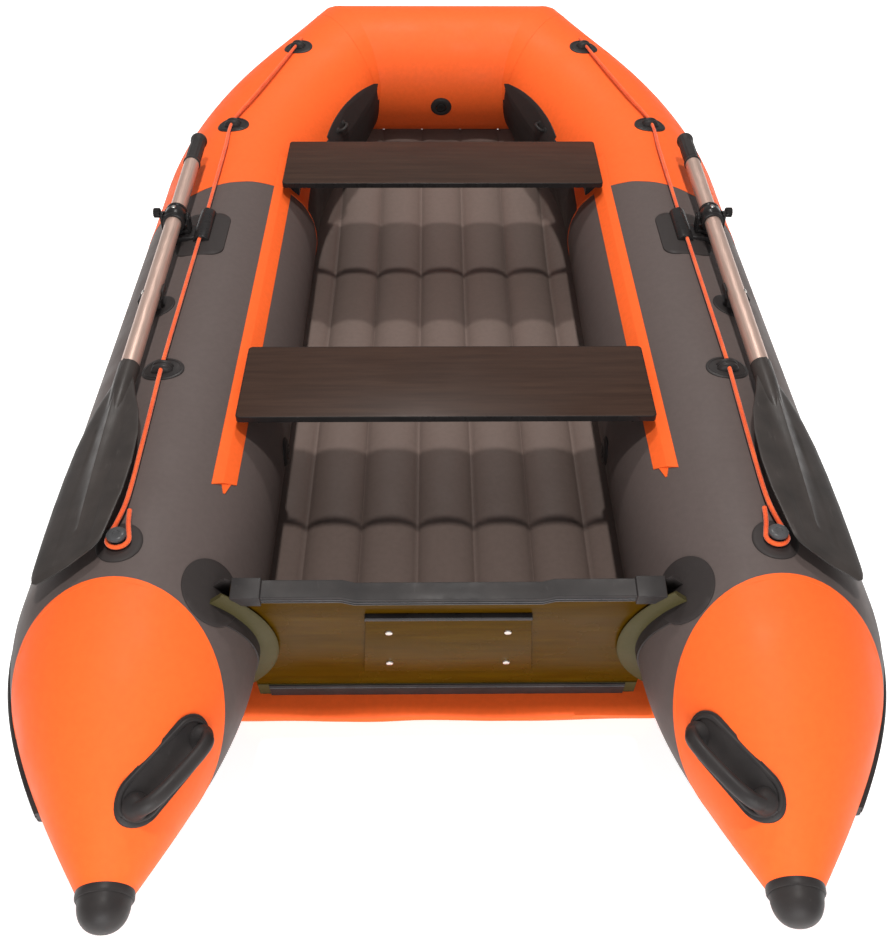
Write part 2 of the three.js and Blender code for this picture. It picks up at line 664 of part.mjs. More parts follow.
function rowlockBase() {
  const frame = tubeFrame([540, 118, CROWN_Z]);
  const pad = patch(frame, roundedRectangle(112, 172, 30), 3);
  const [inner, outer] = [521, 557];
  const tunnel = new THREE.Shape();
  tunnel.moveTo(inner, CROWN_Z - 20);
  tunnel.lineTo(outer, CROWN_Z - 20);
  tunnel.lineTo(outer, 464);
  tunnel.quadraticCurveTo(554, 476, 541, 476);
  tunnel.quadraticCurveTo(526, 476, inner, 464);
  const block = sectionPrism(tunnel, 84, 204);
  const shelfPlace = new THREE.Matrix4().makeTranslation(OAR.x - 12, OAR.y, CROWN_Z - 40);
  const shelf = prism(roundedRectangle(72, 56, 18), SHELF_Z - CROWN_Z + 40, shelfPlace);
  const pinHole = rod(6.4, 452, 480, atRowlock(0));
  return seated(block.add(shelf).add(pad)).subtract(ropeSpace()).subtract(pinHole);
}

function atRowlock(z) {
  return new THREE.Matrix4().makeTranslation(OAR.x, OAR.y, z);
}

function rowlockSwivel() {
  const [floor, deck] = [SHELF_Z + GAP, 474];
  const disc = rod(19, floor, deck, atRowlock(0)).add(rod(6, 453, floor + 1, atRowlock(0)));
  const cheeks = [-1, 1].map((side) => {
    const [a, b] = [OAR.x + side * 25.5, OAR.x + side * 31.5].sort((m, n) => m - n);
    const cheek = roundedCheek();
    return profilePrism(cheek, a, b);
  });
  const floorPlate = box([OAR.x - 31.5, OAR.y - 12, floor + 0.2], [OAR.x + 31.5, OAR.y + 12, deck]);
  const fork = cheeks.reduce((sum, cheek) => sum.add(cheek), disc.add(floorPlate));
  return fork.subtract(rod(6.2, -40, 40, acrossOar()));
}

function roundedCheek() {
  const shape = new THREE.Shape();
  shape.moveTo(OAR.y - 12, 470);
  shape.lineTo(OAR.y + 12, 470);
  shape.absarc(OAR.y, OAR.z, 12, 0, Math.PI, false);
  return shape;
}

// Local Z runs to starboard through the collar's centre.
function acrossOar() {
  return new THREE.Matrix4().makeTranslation(OAR.x, OAR.y, OAR.z).multiply(new THREE.Matrix4().makeRotationY(Math.PI / 2));
}

// The oar's own frame: Z runs along the shaft towards the grip, X to starboard.
function alongOar() {
  const turn = new THREE.Matrix4().makeRotationX(OAR_SLOPE - Math.PI / 2);
  return new THREE.Matrix4().makeTranslation(OAR.x, OAR.y, OAR.z).multiply(turn);
}

function oarCollar() {
  const clamp = turned([[0, -25], [22, -25], [24, -22], [24, 22], [22, 25], [0, 25]], alongOar());
  const pins = rod(5.6, -33, 33, acrossOar(), 16);
  const screwBoss = rod(8, 15, 25.2, screwFrame(), 16);
  const bore = rod(SHAFT_RADIUS + GAP, -FAR, FAR, alongOar());
  const screwHole = rod(4.2, 10, 40, screwFrame(), 12);
  return clamp.add(pins).add(screwBoss).subtract(bore).subtract(screwHole);
}

function screwFrame() {
  return new THREE.Matrix4().makeTranslation(OAR.x, OAR.y + SCREW_Y, OAR.z + 1)
    .multiply(new THREE.Matrix4().makeRotationY(Math.PI / 2));
}

function thumbscrew() {
  const lobes = 8;
  const knob = new THREE.Shape(Array.from({ length: 3 * lobes }, (_, i) => {
    const angle = (2 * Math.PI * i) / (3 * lobes);
    const radius = i % 3 === 0 ? 9.4 : 11;
    return new THREE.Vector2(radius * Math.cos(angle), radius * Math.sin(angle));
  }));
  const head = prism(knob, 15, screwFrame().multiply(new THREE.Matrix4().makeTranslation(0, 0, 36)));
  return head.add(rod(3.8, 19, 37, screwFrame(), 12));
}

function oarShaft() {
  return rod(SHAFT_RADIUS, SHAFT_AFT, SHAFT_FORE, alongOar());
}

function oarGrip() {
  const start = SHAFT_FORE + GAP;
  const end = start + GRIP_LENGTH;
  const profile = [[0, start], [20, start], [20, start + 6], [17.5, start + 10], [18, start + 60], [17.5, end - 20]];
  profile.push([20, end - 12], [20, end - 5], [15, end], [0, end]);
  return turned(profile, alongOar());
}

function oarBlade() {
  const outline = new THREE.Shape();
  outline.moveTo(-15, 0);
  outline.quadraticCurveTo(-22, 60, -50, 130);
  outline.quadraticCurveTo(-66, 220, -62, 330);
  outline.lineTo(-46, BLADE_LENGTH - 62);
  outline.quadraticCurveTo(-36, BLADE_LENGTH - 48, -10, BLADE_LENGTH - 34);
  outline.lineTo(48, BLADE_LENGTH - 4);
  outline.quadraticCurveTo(62, BLADE_LENGTH, 66, BLADE_LENGTH - 20);
  outline.quadraticCurveTo(74, 300, 62, 190);
  outline.quadraticCurveTo(48, 90, 15, 0);
  const start = SHAFT_AFT - GAP;
  const roll = new THREE.Matrix4().makeRotationZ(BLADE_ROLL);
  const flat = new THREE.Matrix4().makeRotationX(-Math.PI / 2).setPosition(0, -BLADE_THICKNESS / 2, start);
  const plate = prism(outline, BLADE_THICKNESS, alongOar().multiply(roll).multiply(flat));
  const spineEnd = start - 0.72 * BLADE_LENGTH;
  const spine = [[0, spineEnd], [3, spineEnd], [10, spineEnd + 150], [SHAFT_RADIUS, start - 90], [19.5, start - 60]];
  spine.push([19.5, start], [0, start]);
  return plate.add(turned(spine, alongOar()));
}

// ---------------------------------------------------------------- assembly

const boat = new THREE.Group();

function add(name, solid, look) {
  const mesh = new THREE.Mesh(toGeometry(solid), new THREE.MeshStandardMaterial(look));
  mesh.name = name;
  boat.add(mesh);
}

function addPair(name, solid, look) {
  add(`starboard_${name}`, solid, look);
  add(`port_${name}`, mirrored(solid), look);
}

addPair("side_tube", sideTube(), GREY);
addPair("tail_cone", tailCone(), ORANGE);
addPair("tail_cap", tailCap(), BLACK);
addPair("rubbing_strake", rubbingStrake(), BLACK);
add("bow_tube", bowTube(), ORANGE);
add("inflatable_bottom", inflatableBottom(), GREY);

add("transom_board", transomBoard(), LACQUERED);
add("transom_top_trim", transomTopTrim(), BLACK);
add("transom_foot_profile", transomFootProfile(), BLACK);
add("transom_skirt", transomSkirt(), ORANGE);
addPair("transom_holder", transomHolder(), DARK_GREY);
add("motor_plate", motorPlate(), LACQUERED);
add("motor_plate_strip", motorPlateStrip(), STEEL);

add("starboard_seat_rail", seatRail(STARBOARD_RAIL_AFT_Y), ORANGE);
add("port_seat_rail", mirrored(seatRail(PORT_RAIL_AFT_Y)), ORANGE);
add("rear_bench", bench(REAR_BENCH), BENCH_BROWN);
add("front_bench", bench(FRONT_BENCH), BENCH_BROWN);
for (const [name, span] of [["rear_bench", REAR_BENCH], ["front_bench", FRONT_BENCH]]) {
  add(`${name}_starboard_slide`, benchSlide(span), BLACK);
  add(`${name}_port_slide`, mirrored(benchSlide(span)), BLACK);
}

add("bow_valve", bowValve(), BLACK);
add("bow_valve_cap", bowValveCap(), BLACK);
addPair("valve", sideValve(), BLACK);
addPair("stern_handle", sternHandle(), BLACK);
addPair("rope_holder_1", ropeHolder([400, 1000, 521], [139, -369, -52]), BLACK);
addPair("rope_holder_2", ropeHolder([539, 631, 469], [60, -430, -30]), BLACK);
addPair("rope_holder_3", ropeHolder([542, -370, 459]), BLACK);
addPair("tail_anchor", tailAnchor(), BLACK);
addPair("grab_rope", grabRope(), ORANGE);
addPair("bow_loop", bowLoop(), DARK_GREY);

addPair("oar_rest", oarRest(), BLACK);
addPair("rowlock_base", rowlockBase(), BLACK);
addPair("rowlock_swivel", rowlockSwivel(), BLACK);
addPair("oar_collar", oarCollar(), BLACK);
addPair("thumbscrew", thumbscrew(), BLACK);
addPair("oar_grip", oarGrip(), BLACK);
addPair("oar_shaft", oarShaft(), ALUMINIUM);
addPair("oar_blade", oarBlade(), BLACK);

export default boat;
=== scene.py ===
"""Looks of an inflatable boat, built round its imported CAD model.

Metres. +X is starboard, +Y the bow, +Z up, as in the CAD model. Most pieces are drawn on the starboard side
and mirrored to port. Stations along the buoyancy tube count from the tip of the starboard tail.
"""

import math
from functools import cache

import bmesh
import bpy
import numpy as np
from mathutils import Matrix, Vector, noise


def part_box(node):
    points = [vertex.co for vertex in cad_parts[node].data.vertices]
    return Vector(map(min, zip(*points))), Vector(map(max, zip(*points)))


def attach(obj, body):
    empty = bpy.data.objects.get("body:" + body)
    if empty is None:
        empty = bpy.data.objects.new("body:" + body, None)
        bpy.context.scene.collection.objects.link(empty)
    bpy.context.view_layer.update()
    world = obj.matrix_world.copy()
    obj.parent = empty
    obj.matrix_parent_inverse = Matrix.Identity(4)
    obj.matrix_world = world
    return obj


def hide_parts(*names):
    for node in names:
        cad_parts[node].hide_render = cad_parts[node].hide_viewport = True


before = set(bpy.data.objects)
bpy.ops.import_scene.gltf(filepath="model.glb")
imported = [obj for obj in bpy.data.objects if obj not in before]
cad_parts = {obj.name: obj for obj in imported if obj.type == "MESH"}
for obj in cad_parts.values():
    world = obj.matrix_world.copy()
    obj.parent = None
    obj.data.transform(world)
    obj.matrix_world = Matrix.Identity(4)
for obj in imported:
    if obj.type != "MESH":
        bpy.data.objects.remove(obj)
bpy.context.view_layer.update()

# ------------------------------------------------------------------ driving dimensions, as in the CAD model

MAIN_RADIUS = 0.200
BOW_RADIUS = 0.173
TAIL_RADIUS = 0.040
SIDE_X = 0.525
TUBE_Z = 0.260
BOW_Z = 0.386
BOW_Y = 1.171
BOW_CORNER_X = 0.279
BEND_Y = 0.764
BEND_RADIUS = 0.900
MITRE_REACH = 0.180  # the rings lean towards the bow corner's mitre over this much of the tube
RISE_Y = 0.385
TAIL_Y = -0.865
TAIL_LENGTH = 0.435
TAIL_INWARD = 0.029
TAIL_DROP = 0.022
TAIL_SWEEP = 1.3
TAIL_CAP_LENGTH = 0.0526
TAIL_SEAM_Y = -1.067
TAIL_SEAM_SLOPE = 0.886
BOW_SEAM_Y = 0.580
BOW_SEAM_SLOPE = 0.45
CROWN_Z = TUBE_Z + MAIN_RADIUS
SLIM_SPAN = BOW_Y - RISE_Y

TRANSOM_Y = -0.8122
TRANSOM_SLOPE = 0.1946
TRANSOM_RAKE = math.atan(TRANSOM_SLOPE)
TRANSOM_THICKNESS = 0.025
TRANSOM_TOP_Z = 0.408
TRANSOM_NOTCH_Z = 0.399  # lower in the middle, where the motor hangs
SKIRT_HALF = 0.387
SKIRT_FORE_Y = -0.7803
SKIRT_AFT_Y = -0.8725

OAR = Vector((0.595, 0.120, 0.500))
OAR_SLOPE = math.radians(1.5)
SHAFT_RADIUS = 0.0175
SHAFT_FORE = 0.232
SHAFT_AFT = -0.515
GRIP_LENGTH = 0.120
BLADE_ROLL = math.radians(20)
REST_Y = -0.150
SCREW_Y = 0.018

FLOOR_TOP = 0.107
CHANNEL_CROWN = 0.024
WELTS = [-0.288, -0.174, -0.058, 0.058, 0.174, 0.288]

ROPE_DIAMETER = 0.008
ROPE_ROUTE = [
    (0.390, 1.026, 0.535), (0.400, 1.000, 0.5304), (0.446, 0.877, 0.5128), (0.493, 0.754, 0.4954),
    (0.539, 0.631, 0.4778), (0.540, 0.505, 0.475), (0.5405, 0.355, 0.4718), (0.541, 0.205, 0.4688),
    (0.541, 0.090, 0.4686), (0.5415, -0.060, 0.4686), (0.542, -0.215, 0.4686), (0.542, -0.370, 0.4686),
    (0.5395, -0.470, 0.4687), (0.536, -0.610, 0.4688), (0.5345, -0.720, 0.4688),
]
ANCHOR = Vector((0.531, -0.820, 0.460))
EYE_RADIUS = 0.0175
EYE_Z = 0.4688

# ------------------------------------------------------------------ shapes


class Shape:
    """Points and faces that are gathered before they become a piece."""

    def __init__(self):
        self.points = []
        self.faces = []

    def grid(self, rows, ring=True, caps=(True, True)):
        """Rows of points joined into quads. A ring's last column meets its first; caps close its end rows."""
        rows = np.asarray(rows, float)
        count, width = rows.shape[:2]
        base = len(self.points)
        self.points.extend(rows.reshape(-1, 3).tolist())
        for i in range(count - 1):
            for j in range(width if ring else width - 1):
                a = base + i * width + j
                b = base + i * width + (j + 1) % width
                self.faces.append((a, b, b + width, a + width))
        if ring and caps[0]:
            self.faces.append(tuple(base + j for j in reversed(range(width))))
        if ring and caps[1]:
            self.faces.append(tuple(base + (count - 1) * width + j for j in range(width)))
        return self

    def turned(self, profile, matrix, sides=48, wave=None):
        """A turned solid about the local Z axis, from (radius, height) points."""
        rows = []
        for radius, height in profile:
            row = []
            for j in range(sides):
                angle = 2 * math.pi * j / sides
                swollen = radius + (wave(angle, height) if wave else 0)
                row.append(matrix @ Vector((swollen * math.cos(angle), swollen * math.sin(angle), height)))
            rows.append(row)
        return self.grid(rows)

    def prism(self, outline, low, high, matrix):
        """An outline in the local XY plane drawn out along local Z."""
        rows = [[matrix @ Vector((x, y, z)) for x, y in outline] for z in (low, high)]
        return self.grid(rows)

    def swept(self, path, section, matrix=None):
        """A closed section drawn along a path; section(share) gives its (across, up) points."""
        path = [Vector(p) for p in path]
        rows = []
        side = None
        for i, point in enumerate(path):
            ahead = (path[min(i + 1, len(path) - 1)] - path[max(i - 1, 0)]).normalized()
            if side is None:
                reference = Vector((0, 0, 1)) if abs(ahead.z) < 0.9 else Vector((0, 1, 0))
                side = ahead.cross(reference).normalized()
            side = (side - ahead * side.dot(ahead)).normalized()
            up = side.cross(ahead)
            row = [point + side * a + up * b for a, b in section(i / (len(path) - 1))]
            rows.append([matrix @ p for p in row] if matrix else row)
        return self.grid(rows)

    def add(self, other):
        base = len(self.points)
        self.points.extend(other.points)
        self.faces.extend(tuple(base + i for i in face) for face in other.faces)
        return self


def circle(radius, sides=20):
    return [(radius * math.cos(2 * math.pi * i / sides), radius * math.sin(2 * math.pi * i / sides))
            for i in range(sides)]


def arc(centre, radius, start, end, steps):
    """Points of an arc, from and to angles in degrees."""
    angles = [math.radians(start + (end - start) * i / steps) for i in range(steps + 1)]
    return [(centre[0] + radius * math.cos(a), centre[1] + radius * math.sin(a)) for a in angles]


def rounded_rectangle(width, length, radius, steps=8):
    x, y = width / 2 - radius, length / 2 - radius
    corners = [((x, -y), -90), ((x, y), 0), ((-x, y), 90), ((-x, -y), 180)]
    return [p for centre, start in corners for p in arc(centre, radius, start, start + 90, steps)]


def ellipse(across, along, steps=56):
    return [(across * math.cos(2 * math.pi * i / steps), along * math.sin(2 * math.pi * i / steps))
            for i in range(steps)]


def bent_line(start, control, end, steps=12):
    """A quadratic curve, without its last point."""
    shares = [i / steps for i in range(steps)]
    return [((1 - t) ** 2 * start[0] + 2 * t * (1 - t) * control[0] + t * t * end[0],
             (1 - t) ** 2 * start[1] + 2 * t * (1 - t) * control[1] + t * t * end[1]) for t in shares]


def smooth_path(points, step=0.005):
    """A Catmull-Rom curve through the points, at even steps."""
    p = np.array(points, float)
    p = np.vstack([2 * p[0] - p[1], p, 2 * p[-1] - p[-2]])
    fine = []
    for i in range(1, len(p) - 2):
        t = np.linspace(0, 1, 40, endpoint=False)[:, None]
        a, b, c, d = p[i - 1], p[i], p[i + 1], p[i + 2]
        fine.append(0.5 * (2 * b + (c - a) * t + (2 * a - 5 * b + 4 * c - d) * t**2
                           + (3 * b - a - 3 * c + d) * t**3))
    fine = np.vstack(fine + [p[-2][None]])
    lengths = np.concatenate([[0], np.cumsum(np.linalg.norm(np.diff(fine, axis=0), axis=1))])
    even = np.linspace(0, lengths[-1], max(3, round(lengths[-1] / step)))
    return np.column_stack([np.interp(even, lengths, fine[:, k]) for k in range(3)])


# ------------------------------------------------------------------ pieces


def finished_mesh(name, shape, mirror, bevel, smooth_angle):
    mesh = bpy.data.meshes.new(name)
    points = shape.points
    if mirror:
        points = [(-p[0], p[1], p[2]) for p in points]
    mesh.from_pydata([tuple(p) for p in points], [], shape.faces)
    bm = bmesh.new()
    bm.from_mesh(mesh)
    bmesh.ops.remove_doubles(bm, verts=bm.verts, dist=2e-6)
    bmesh.ops.dissolve_degenerate(bm, edges=bm.edges, dist=1e-6)
    bmesh.ops.recalc_face_normals(bm, faces=bm.faces)
    if bevel:
        sharp = [e for e in bm.edges if e.is_manifold and e.calc_face_angle(0) > math.radians(32)]
        bmesh.ops.bevel(bm, geom=sharp, offset=bevel, segments=3, profile=0.5, affect="EDGES",
                        clamp_overlap=True)
    bm.to_mesh(mesh)
    bm.free()
    mesh.shade_smooth()
    mesh.set_sharp_from_angle(angle=math.radians(smooth_angle))
    return mesh


def piece(name, body, look, shape, nodes=(), mirror=False, bevel=0, smooth_angle=40):
    """Makes a piece of the shape, riding on a CAD body and standing for CAD nodes."""
    slot, make_material = look
    mesh = finished_mesh(name, shape, mirror, bevel, smooth_angle)
    mesh.materials.append(make_material())
    obj = bpy.data.objects.new(name, mesh)
    bpy.context.scene.collection.objects.link(obj)
    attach(obj, body)
    if nodes:
        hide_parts(*nodes)
    return obj


def both_sides(name, body, look, shape, replaced=None, **options):
    """The same piece on both sides. A body name with {} takes the side's name."""
    made = []
    for side, mirror in (("starboard", False), ("port", True)):
        nodes = [f"{side}_{node}" for node in ([replaced] if replaced else [])]
        made.append(piece(f"{side}_{name}.fine", body.format(side), look, shape, nodes, mirror, **options))
    return made


def cad_shape(node):
    """The CAD node's own solid, welded and with its flat faces joined."""
    bm = bmesh.new()
    bm.from_mesh(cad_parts[node].data)
    bmesh.ops.remove_doubles(bm, verts=bm.verts, dist=1e-5)
    bmesh.ops.dissolve_limit(bm, angle_limit=math.radians(1), verts=bm.verts, edges=bm.edges)
    shape = Shape()
    bm.verts.index_update()
    shape.points = [tuple(v.co) for v in bm.verts]
    shape.faces = [tuple(v.index for v in face.verts) for face in bm.faces]
    bm.free()
    return shape


# ------------------------------------------------------------------ materials


class Material:
    """A Principled material and the few nodes that its patterns need."""

    def __init__(self, name, roughness=0.5, metallic=0.0, specular=0.2):
        self.material = bpy.data.materials.new(name)
        self.material.use_nodes = True
        self.nodes = self.material.node_tree.nodes
        self.links = self.material.node_tree.links
        self.shader = self.nodes["Principled BSDF"]
        self.shader.inputs["Roughness"].default_value = roughness
        self.shader.inputs["Metallic"].default_value = metallic
        self.shader.inputs["Specular IOR Level"].default_value = specular
        self.place = self.nodes.new("ShaderNodeTexCoord").outputs["Object"]

    def stretched(self, scale, turn=(0, 0, 0)):
        mapping = self.nodes.new("ShaderNodeMapping")
        mapping.inputs["Scale"].default_value = scale
        mapping.inputs["Rotation"].default_value = turn
        self.links.new(self.place, mapping.inputs["Vector"])
        return mapping.outputs["Vector"]

    def noise(self, scale, detail=4, place=None, roughness=0.55):
        node = self.nodes.new("ShaderNodeTexNoise")
        node.inputs["Scale"].default_value = scale
        node.inputs["Detail"].default_value = detail
        node.inputs["Roughness"].default_value = roughness
        self.links.new(place or self.place, node.inputs["Vector"])
        return node.outputs["Fac"]

    def wave(self, scale, direction, distortion=0.0, place=None):
        node = self.nodes.new("ShaderNodeTexWave")
        node.bands_direction = direction
        node.inputs["Scale"].default_value = scale
        node.inputs["Distortion"].default_value = distortion
        self.links.new(place or self.place, node.inputs["Vector"])
        return node.outputs["Fac"]

    def cells(self, scale, place=None):
        node = self.nodes.new("ShaderNodeTexVoronoi")
        node.inputs["Scale"].default_value = scale
        self.links.new(place or self.place, node.inputs["Vector"])
        return node.outputs["Distance"]

    def math(self, operation, a, b):
        node = self.nodes.new("ShaderNodeMath")
        node.operation = operation
        for socket, value in zip(node.inputs, (a, b)):
            if isinstance(value, (int, float)):
                socket.default_value = value
            else:
                self.links.new(value, socket)
        return node.outputs["Value"]

    def ramp(self, factor, stops):
        """Colours or values at places along 0..1."""
        node = self.nodes.new("ShaderNodeValToRGB")
        elements = node.color_ramp.elements
        while len(elements) < len(stops):
            elements.new(0.5)
        for element, (at, colour) in zip(elements, stops):
            element.position = at
            element.color = (*colour, 1) if isinstance(colour, tuple) else (colour, colour, colour, 1)
        self.links.new(factor, node.inputs["Fac"])
        return node.outputs["Color"]

    def mixed(self, factor, a, b, blend="MIX"):
        node = self.nodes.new("ShaderNodeMix")
        node.data_type = "RGBA"
        node.blend_type = blend
        for socket, value in zip((node.inputs[0], node.inputs[6], node.inputs[7]), (factor, a, b)):
            if isinstance(value, (int, float)):
                socket.default_value = value
            elif isinstance(value, tuple):
                socket.default_value = (*value, 1)
            else:
                self.links.new(value, socket)
        return node.outputs[2]

    def colour(self, value):
        self.links.new(value, self.shader.inputs["Base Color"])

    def roughness(self, factor, low, high):
        self.links.new(self.ramp(factor, [(0.3, low), (0.7, high)]), self.shader.inputs["Roughness"])

    def bump(self, *layers):
        """Layers of (height, distance in metres, strength), the first one coarsest."""
        normal = None
        for height, distance, strength in layers:
            node = self.nodes.new("ShaderNodeBump")
            node.inputs["Distance"].default_value = distance
            node.inputs["Strength"].default_value = strength
            self.links.new(height, node.inputs["Height"])
            if normal:
                self.links.new(normal, node.inputs["Normal"])
            normal = node.outputs["Normal"]
        self.links.new(normal, self.shader.inputs["Normal"])


def coated_fabric(name, low, high, sheen=(0.46, 0.60)):
    """PVC-coated fabric: faint scrim of crossing threads, soft cloudy tone, fine pebbling."""
    m = Material(name, specular=0.12)
    cloud = m.noise(2.6, 5)
    speck = m.noise(90, 3)
    tone = m.ramp(m.math("MULTIPLY_ADD", cloud, 0.8), [(0.32, low), (0.68, high)])
    dust = m.ramp(speck, [(0.35, 0.94), (0.65, 1.0)])
    m.colour(m.mixed(1.0, tone, dust, "MULTIPLY"))
    m.roughness(m.noise(14, 4), *sheen)
    threads = m.math("MULTIPLY", m.wave(110, "Y"), m.wave(110, "Z"))
    m.bump((m.noise(9, 3), 0.004, 0.18), (threads, 0.0004, 0.10), (m.noise(420, 2), 0.0003, 0.22))
    return m.material


@cache
def orange_fabric():
    return coated_fabric("orange_pvc_fabric", (0.80, 0.106, 0.018), (0.88, 0.124, 0.023))


@cache
def grey_fabric():
    return coated_fabric("grey_pvc_fabric", (0.072, 0.057, 0.054), (0.092, 0.072, 0.067))


@cache
def floor_fabric():
    return coated_fabric("floor_pvc_fabric", (0.100, 0.076, 0.067), (0.145, 0.108, 0.094), (0.50, 0.62))


@cache
def dark_fabric():
    return coated_fabric("dark_pvc_fabric", (0.022, 0.019, 0.018), (0.032, 0.027, 0.026))


@cache
def welt_fabric():
    return coated_fabric("welt_pvc_tape", (0.15, 0.13, 0.12), (0.22, 0.19, 0.17), (0.30, 0.42))


def moulded(name, low, high, gloss, grain=900, strength=0.25):
    """Moulded plastic or rubber: fine spark grain, cloudy tone, pale scuffs where a stretched noise runs
    high.
    """
    m = Material(name, specular=0.14)
    tone = m.ramp(m.noise(18, 5), [(0.3, low), (0.7, high)])
    scuff_place = m.stretched((60, 14, 60), (0.3, 0.2, 0.5))
    scuff = m.ramp(m.noise(1.0, 8, scuff_place, 0.7), [(0.62, 0.0), (0.74, 0.35)])
    pale = tuple(min(1.0, 2.2 * c + 0.02) for c in high)
    m.colour(m.mixed(scuff, tone, pale))
    m.roughness(m.noise(40, 4), *gloss)
    m.bump((m.noise(30, 3), 0.0006, 0.2), (m.cells(grain), 0.0002, strength))
    return m.material


@cache
def black_rubber():
    return moulded("black_rubber_grain", (0.020, 0.018, 0.018), (0.032, 0.028, 0.027), (0.36, 0.52))


@cache
def black_plastic():
    return moulded(
        "black_plastic_gloss", (0.012, 0.011, 0.011), (0.020, 0.018, 0.018), (0.22, 0.36), 1200, 0.15)


@cache
def grey_plastic():
    return moulded(
        "grey_plastic_satin", (0.050, 0.050, 0.052), (0.075, 0.074, 0.076), (0.24, 0.34), 1200, 0.12)


@cache
def blade_plastic():
    return moulded(
        "blade_plastic_satin", (0.030, 0.026, 0.024), (0.044, 0.037, 0.034), (0.30, 0.44), 700, 0.3)


@cache
def bench_laminate():
    m = Material("bench_laminate", specular=0.16)
    grain_place = m.stretched((1.0, 16, 16))
    grain = m.noise(5, 8, grain_place, 0.6)
    streak = m.noise(22, 6, m.stretched((0.6, 9, 9)), 0.65)
    base = m.ramp(grain, [(0.30, (0.026, 0.012, 0.007)), (0.55, (0.037, 0.018, 0.011)),
                          (0.75, (0.045, 0.023, 0.014))])
    m.colour(m.mixed(m.ramp(streak, [(0.45, 0.0), (0.75, 0.5)]), base, (0.026, 0.012, 0.008)))
    m.roughness(m.noise(7, 5), 0.34, 0.46)
    m.bump((grain, 0.0005, 0.10), (m.cells(700), 0.0002, 0.14))
    return m.material


@cache
def lacquered_plywood():
    m = Material("lacquered_plywood", specular=0.03)
    grain_place = m.stretched((1.2, 18, 14))
    grain = m.noise(6, 9, grain_place, 0.62)
    flame = m.wave(3.2, "Z", 5.0, m.stretched((0.35, 1, 1)))
    base = m.ramp(grain, [(0.30, (0.040, 0.018, 0.0006)), (0.55, (0.054, 0.026, 0.0009)),
                          (0.75, (0.066, 0.034, 0.0014))])
    m.colour(m.mixed(m.ramp(flame, [(0.2, 0.0), (0.9, 0.35)]), base, (0.042, 0.021, 0.001)))
    m.roughness(m.noise(9, 4), 0.20, 0.32)
    m.bump((grain, 0.0005, 0.12), (m.noise(120, 3), 0.0002, 0.2))
    return m.material


@cache
def green_skin():
    return coated_fabric("olive_pvc_fabric", (0.034, 0.028, 0.010), (0.050, 0.042, 0.016))


@cache
def anodised_tube():
    m = Material("anodised_aluminium", 0.36, 0.65)
    brushed = m.noise(9, 6, m.stretched((70, 1.2, 70)), 0.7)
    blotch = m.noise(12, 4)
    tone = m.ramp(brushed, [(0.30, (0.49, 0.34, 0.28)), (0.70, (0.64, 0.46, 0.39))])
    m.colour(m.mixed(m.ramp(blotch, [(0.5, 0.0), (0.8, 0.4)]), tone, (0.42, 0.34, 0.28)))
    m.roughness(brushed, 0.30, 0.46)
    m.bump((brushed, 0.0002, 0.25))
    return m.material


@cache
def bright_steel():
    m = Material("bright_steel", 0.25, 1.0)
    brushed = m.noise(10, 6, m.stretched((2, 60, 60)), 0.7)
    m.colour(m.ramp(brushed, [(0.3, (0.50, 0.47, 0.43)), (0.7, (0.74, 0.71, 0.67))]))
    m.roughness(m.noise(60, 4), 0.16, 0.36)
    m.bump((brushed, 0.0002, 0.2))
    return m.material


@cache
def braided_rope():
    m = Material("braided_orange_rope", 0.62)
    strand = m.noise(900, 3, m.stretched((1, 0.35, 1)))
    tone = m.ramp(m.noise(25, 4), [(0.35, (0.78, 0.085, 0.012)), (0.65, (0.92, 0.125, 0.020))])
    shade = m.ramp(strand, [(0.30, 0.62), (0.60, 1.0)])
    m.colour(m.mixed(1.0, tone, shade, "MULTIPLY"))
    m.bump((strand, 0.0005, 0.5))
    m.shader.inputs["Sheen Weight"].default_value = 0.25
    return m.material


ORANGE = ("orange_pvc", orange_fabric)
GREY = ("grey_pvc", grey_fabric)
FLOOR = ("grey_pvc", floor_fabric)
WELT = ("grey_pvc", welt_fabric)
DARK = ("dark_pvc", dark_fabric)
OLIVE = ("dark_pvc", green_skin)
RUBBER = ("black_rubber", black_rubber)
PLASTIC = ("black_plastic", black_plastic)
SATIN = ("black_plastic", grey_plastic)
BLADE = ("blade_plastic", blade_plastic)
BENCH = ("bench_board", bench_laminate)
PLYWOOD = ("lacquered_plywood", lacquered_plywood)
ALUMINIUM = ("aluminium_tube", anodised_tube)
STEEL = ("steel_strip", bright_steel)
ROPE = ("orange_rope", braided_rope)

# ------------------------------------------------------------------ buoyancy tube surface


def rounded_corner(before, corner, after, radius, steps):
    back = (before - corner).normalized()
    ahead = (after - corner).normalized()
    half = math.acos(back.dot(ahead)) / 2
    centre = corner + (back + ahead).normalized() * (radius / math.sin(half))
    first = corner + back * (radius / math.tan(half)) - centre
    start = math.atan2(first.y, first.x)
    sweep = math.pi - 2 * half
    angles = [start + sweep * i / steps for i in range(steps + 1)]
    return [centre + Vector((math.cos(a), math.sin(a))) * radius for a in angles]


def tail_station(t):
    sweep = t**TAIL_SWEEP
    centre = (SIDE_X - TAIL_INWARD * sweep, TAIL_Y - TAIL_LENGTH * t, TUBE_Z - TAIL_DROP * sweep)
    return centre, TAIL_RADIUS + (MAIN_RADIUS - TAIL_RADIUS) * math.cos(math.pi / 2 * t)


def forward_station(x, y):
    rise = min(max((y - RISE_Y) / SLIM_SPAN, 0), 1) ** 2
    return (x, y, TUBE_Z + (BOW_Z - TUBE_Z) * rise), MAIN_RADIUS + (BOW_RADIUS - MAIN_RADIUS) * rise


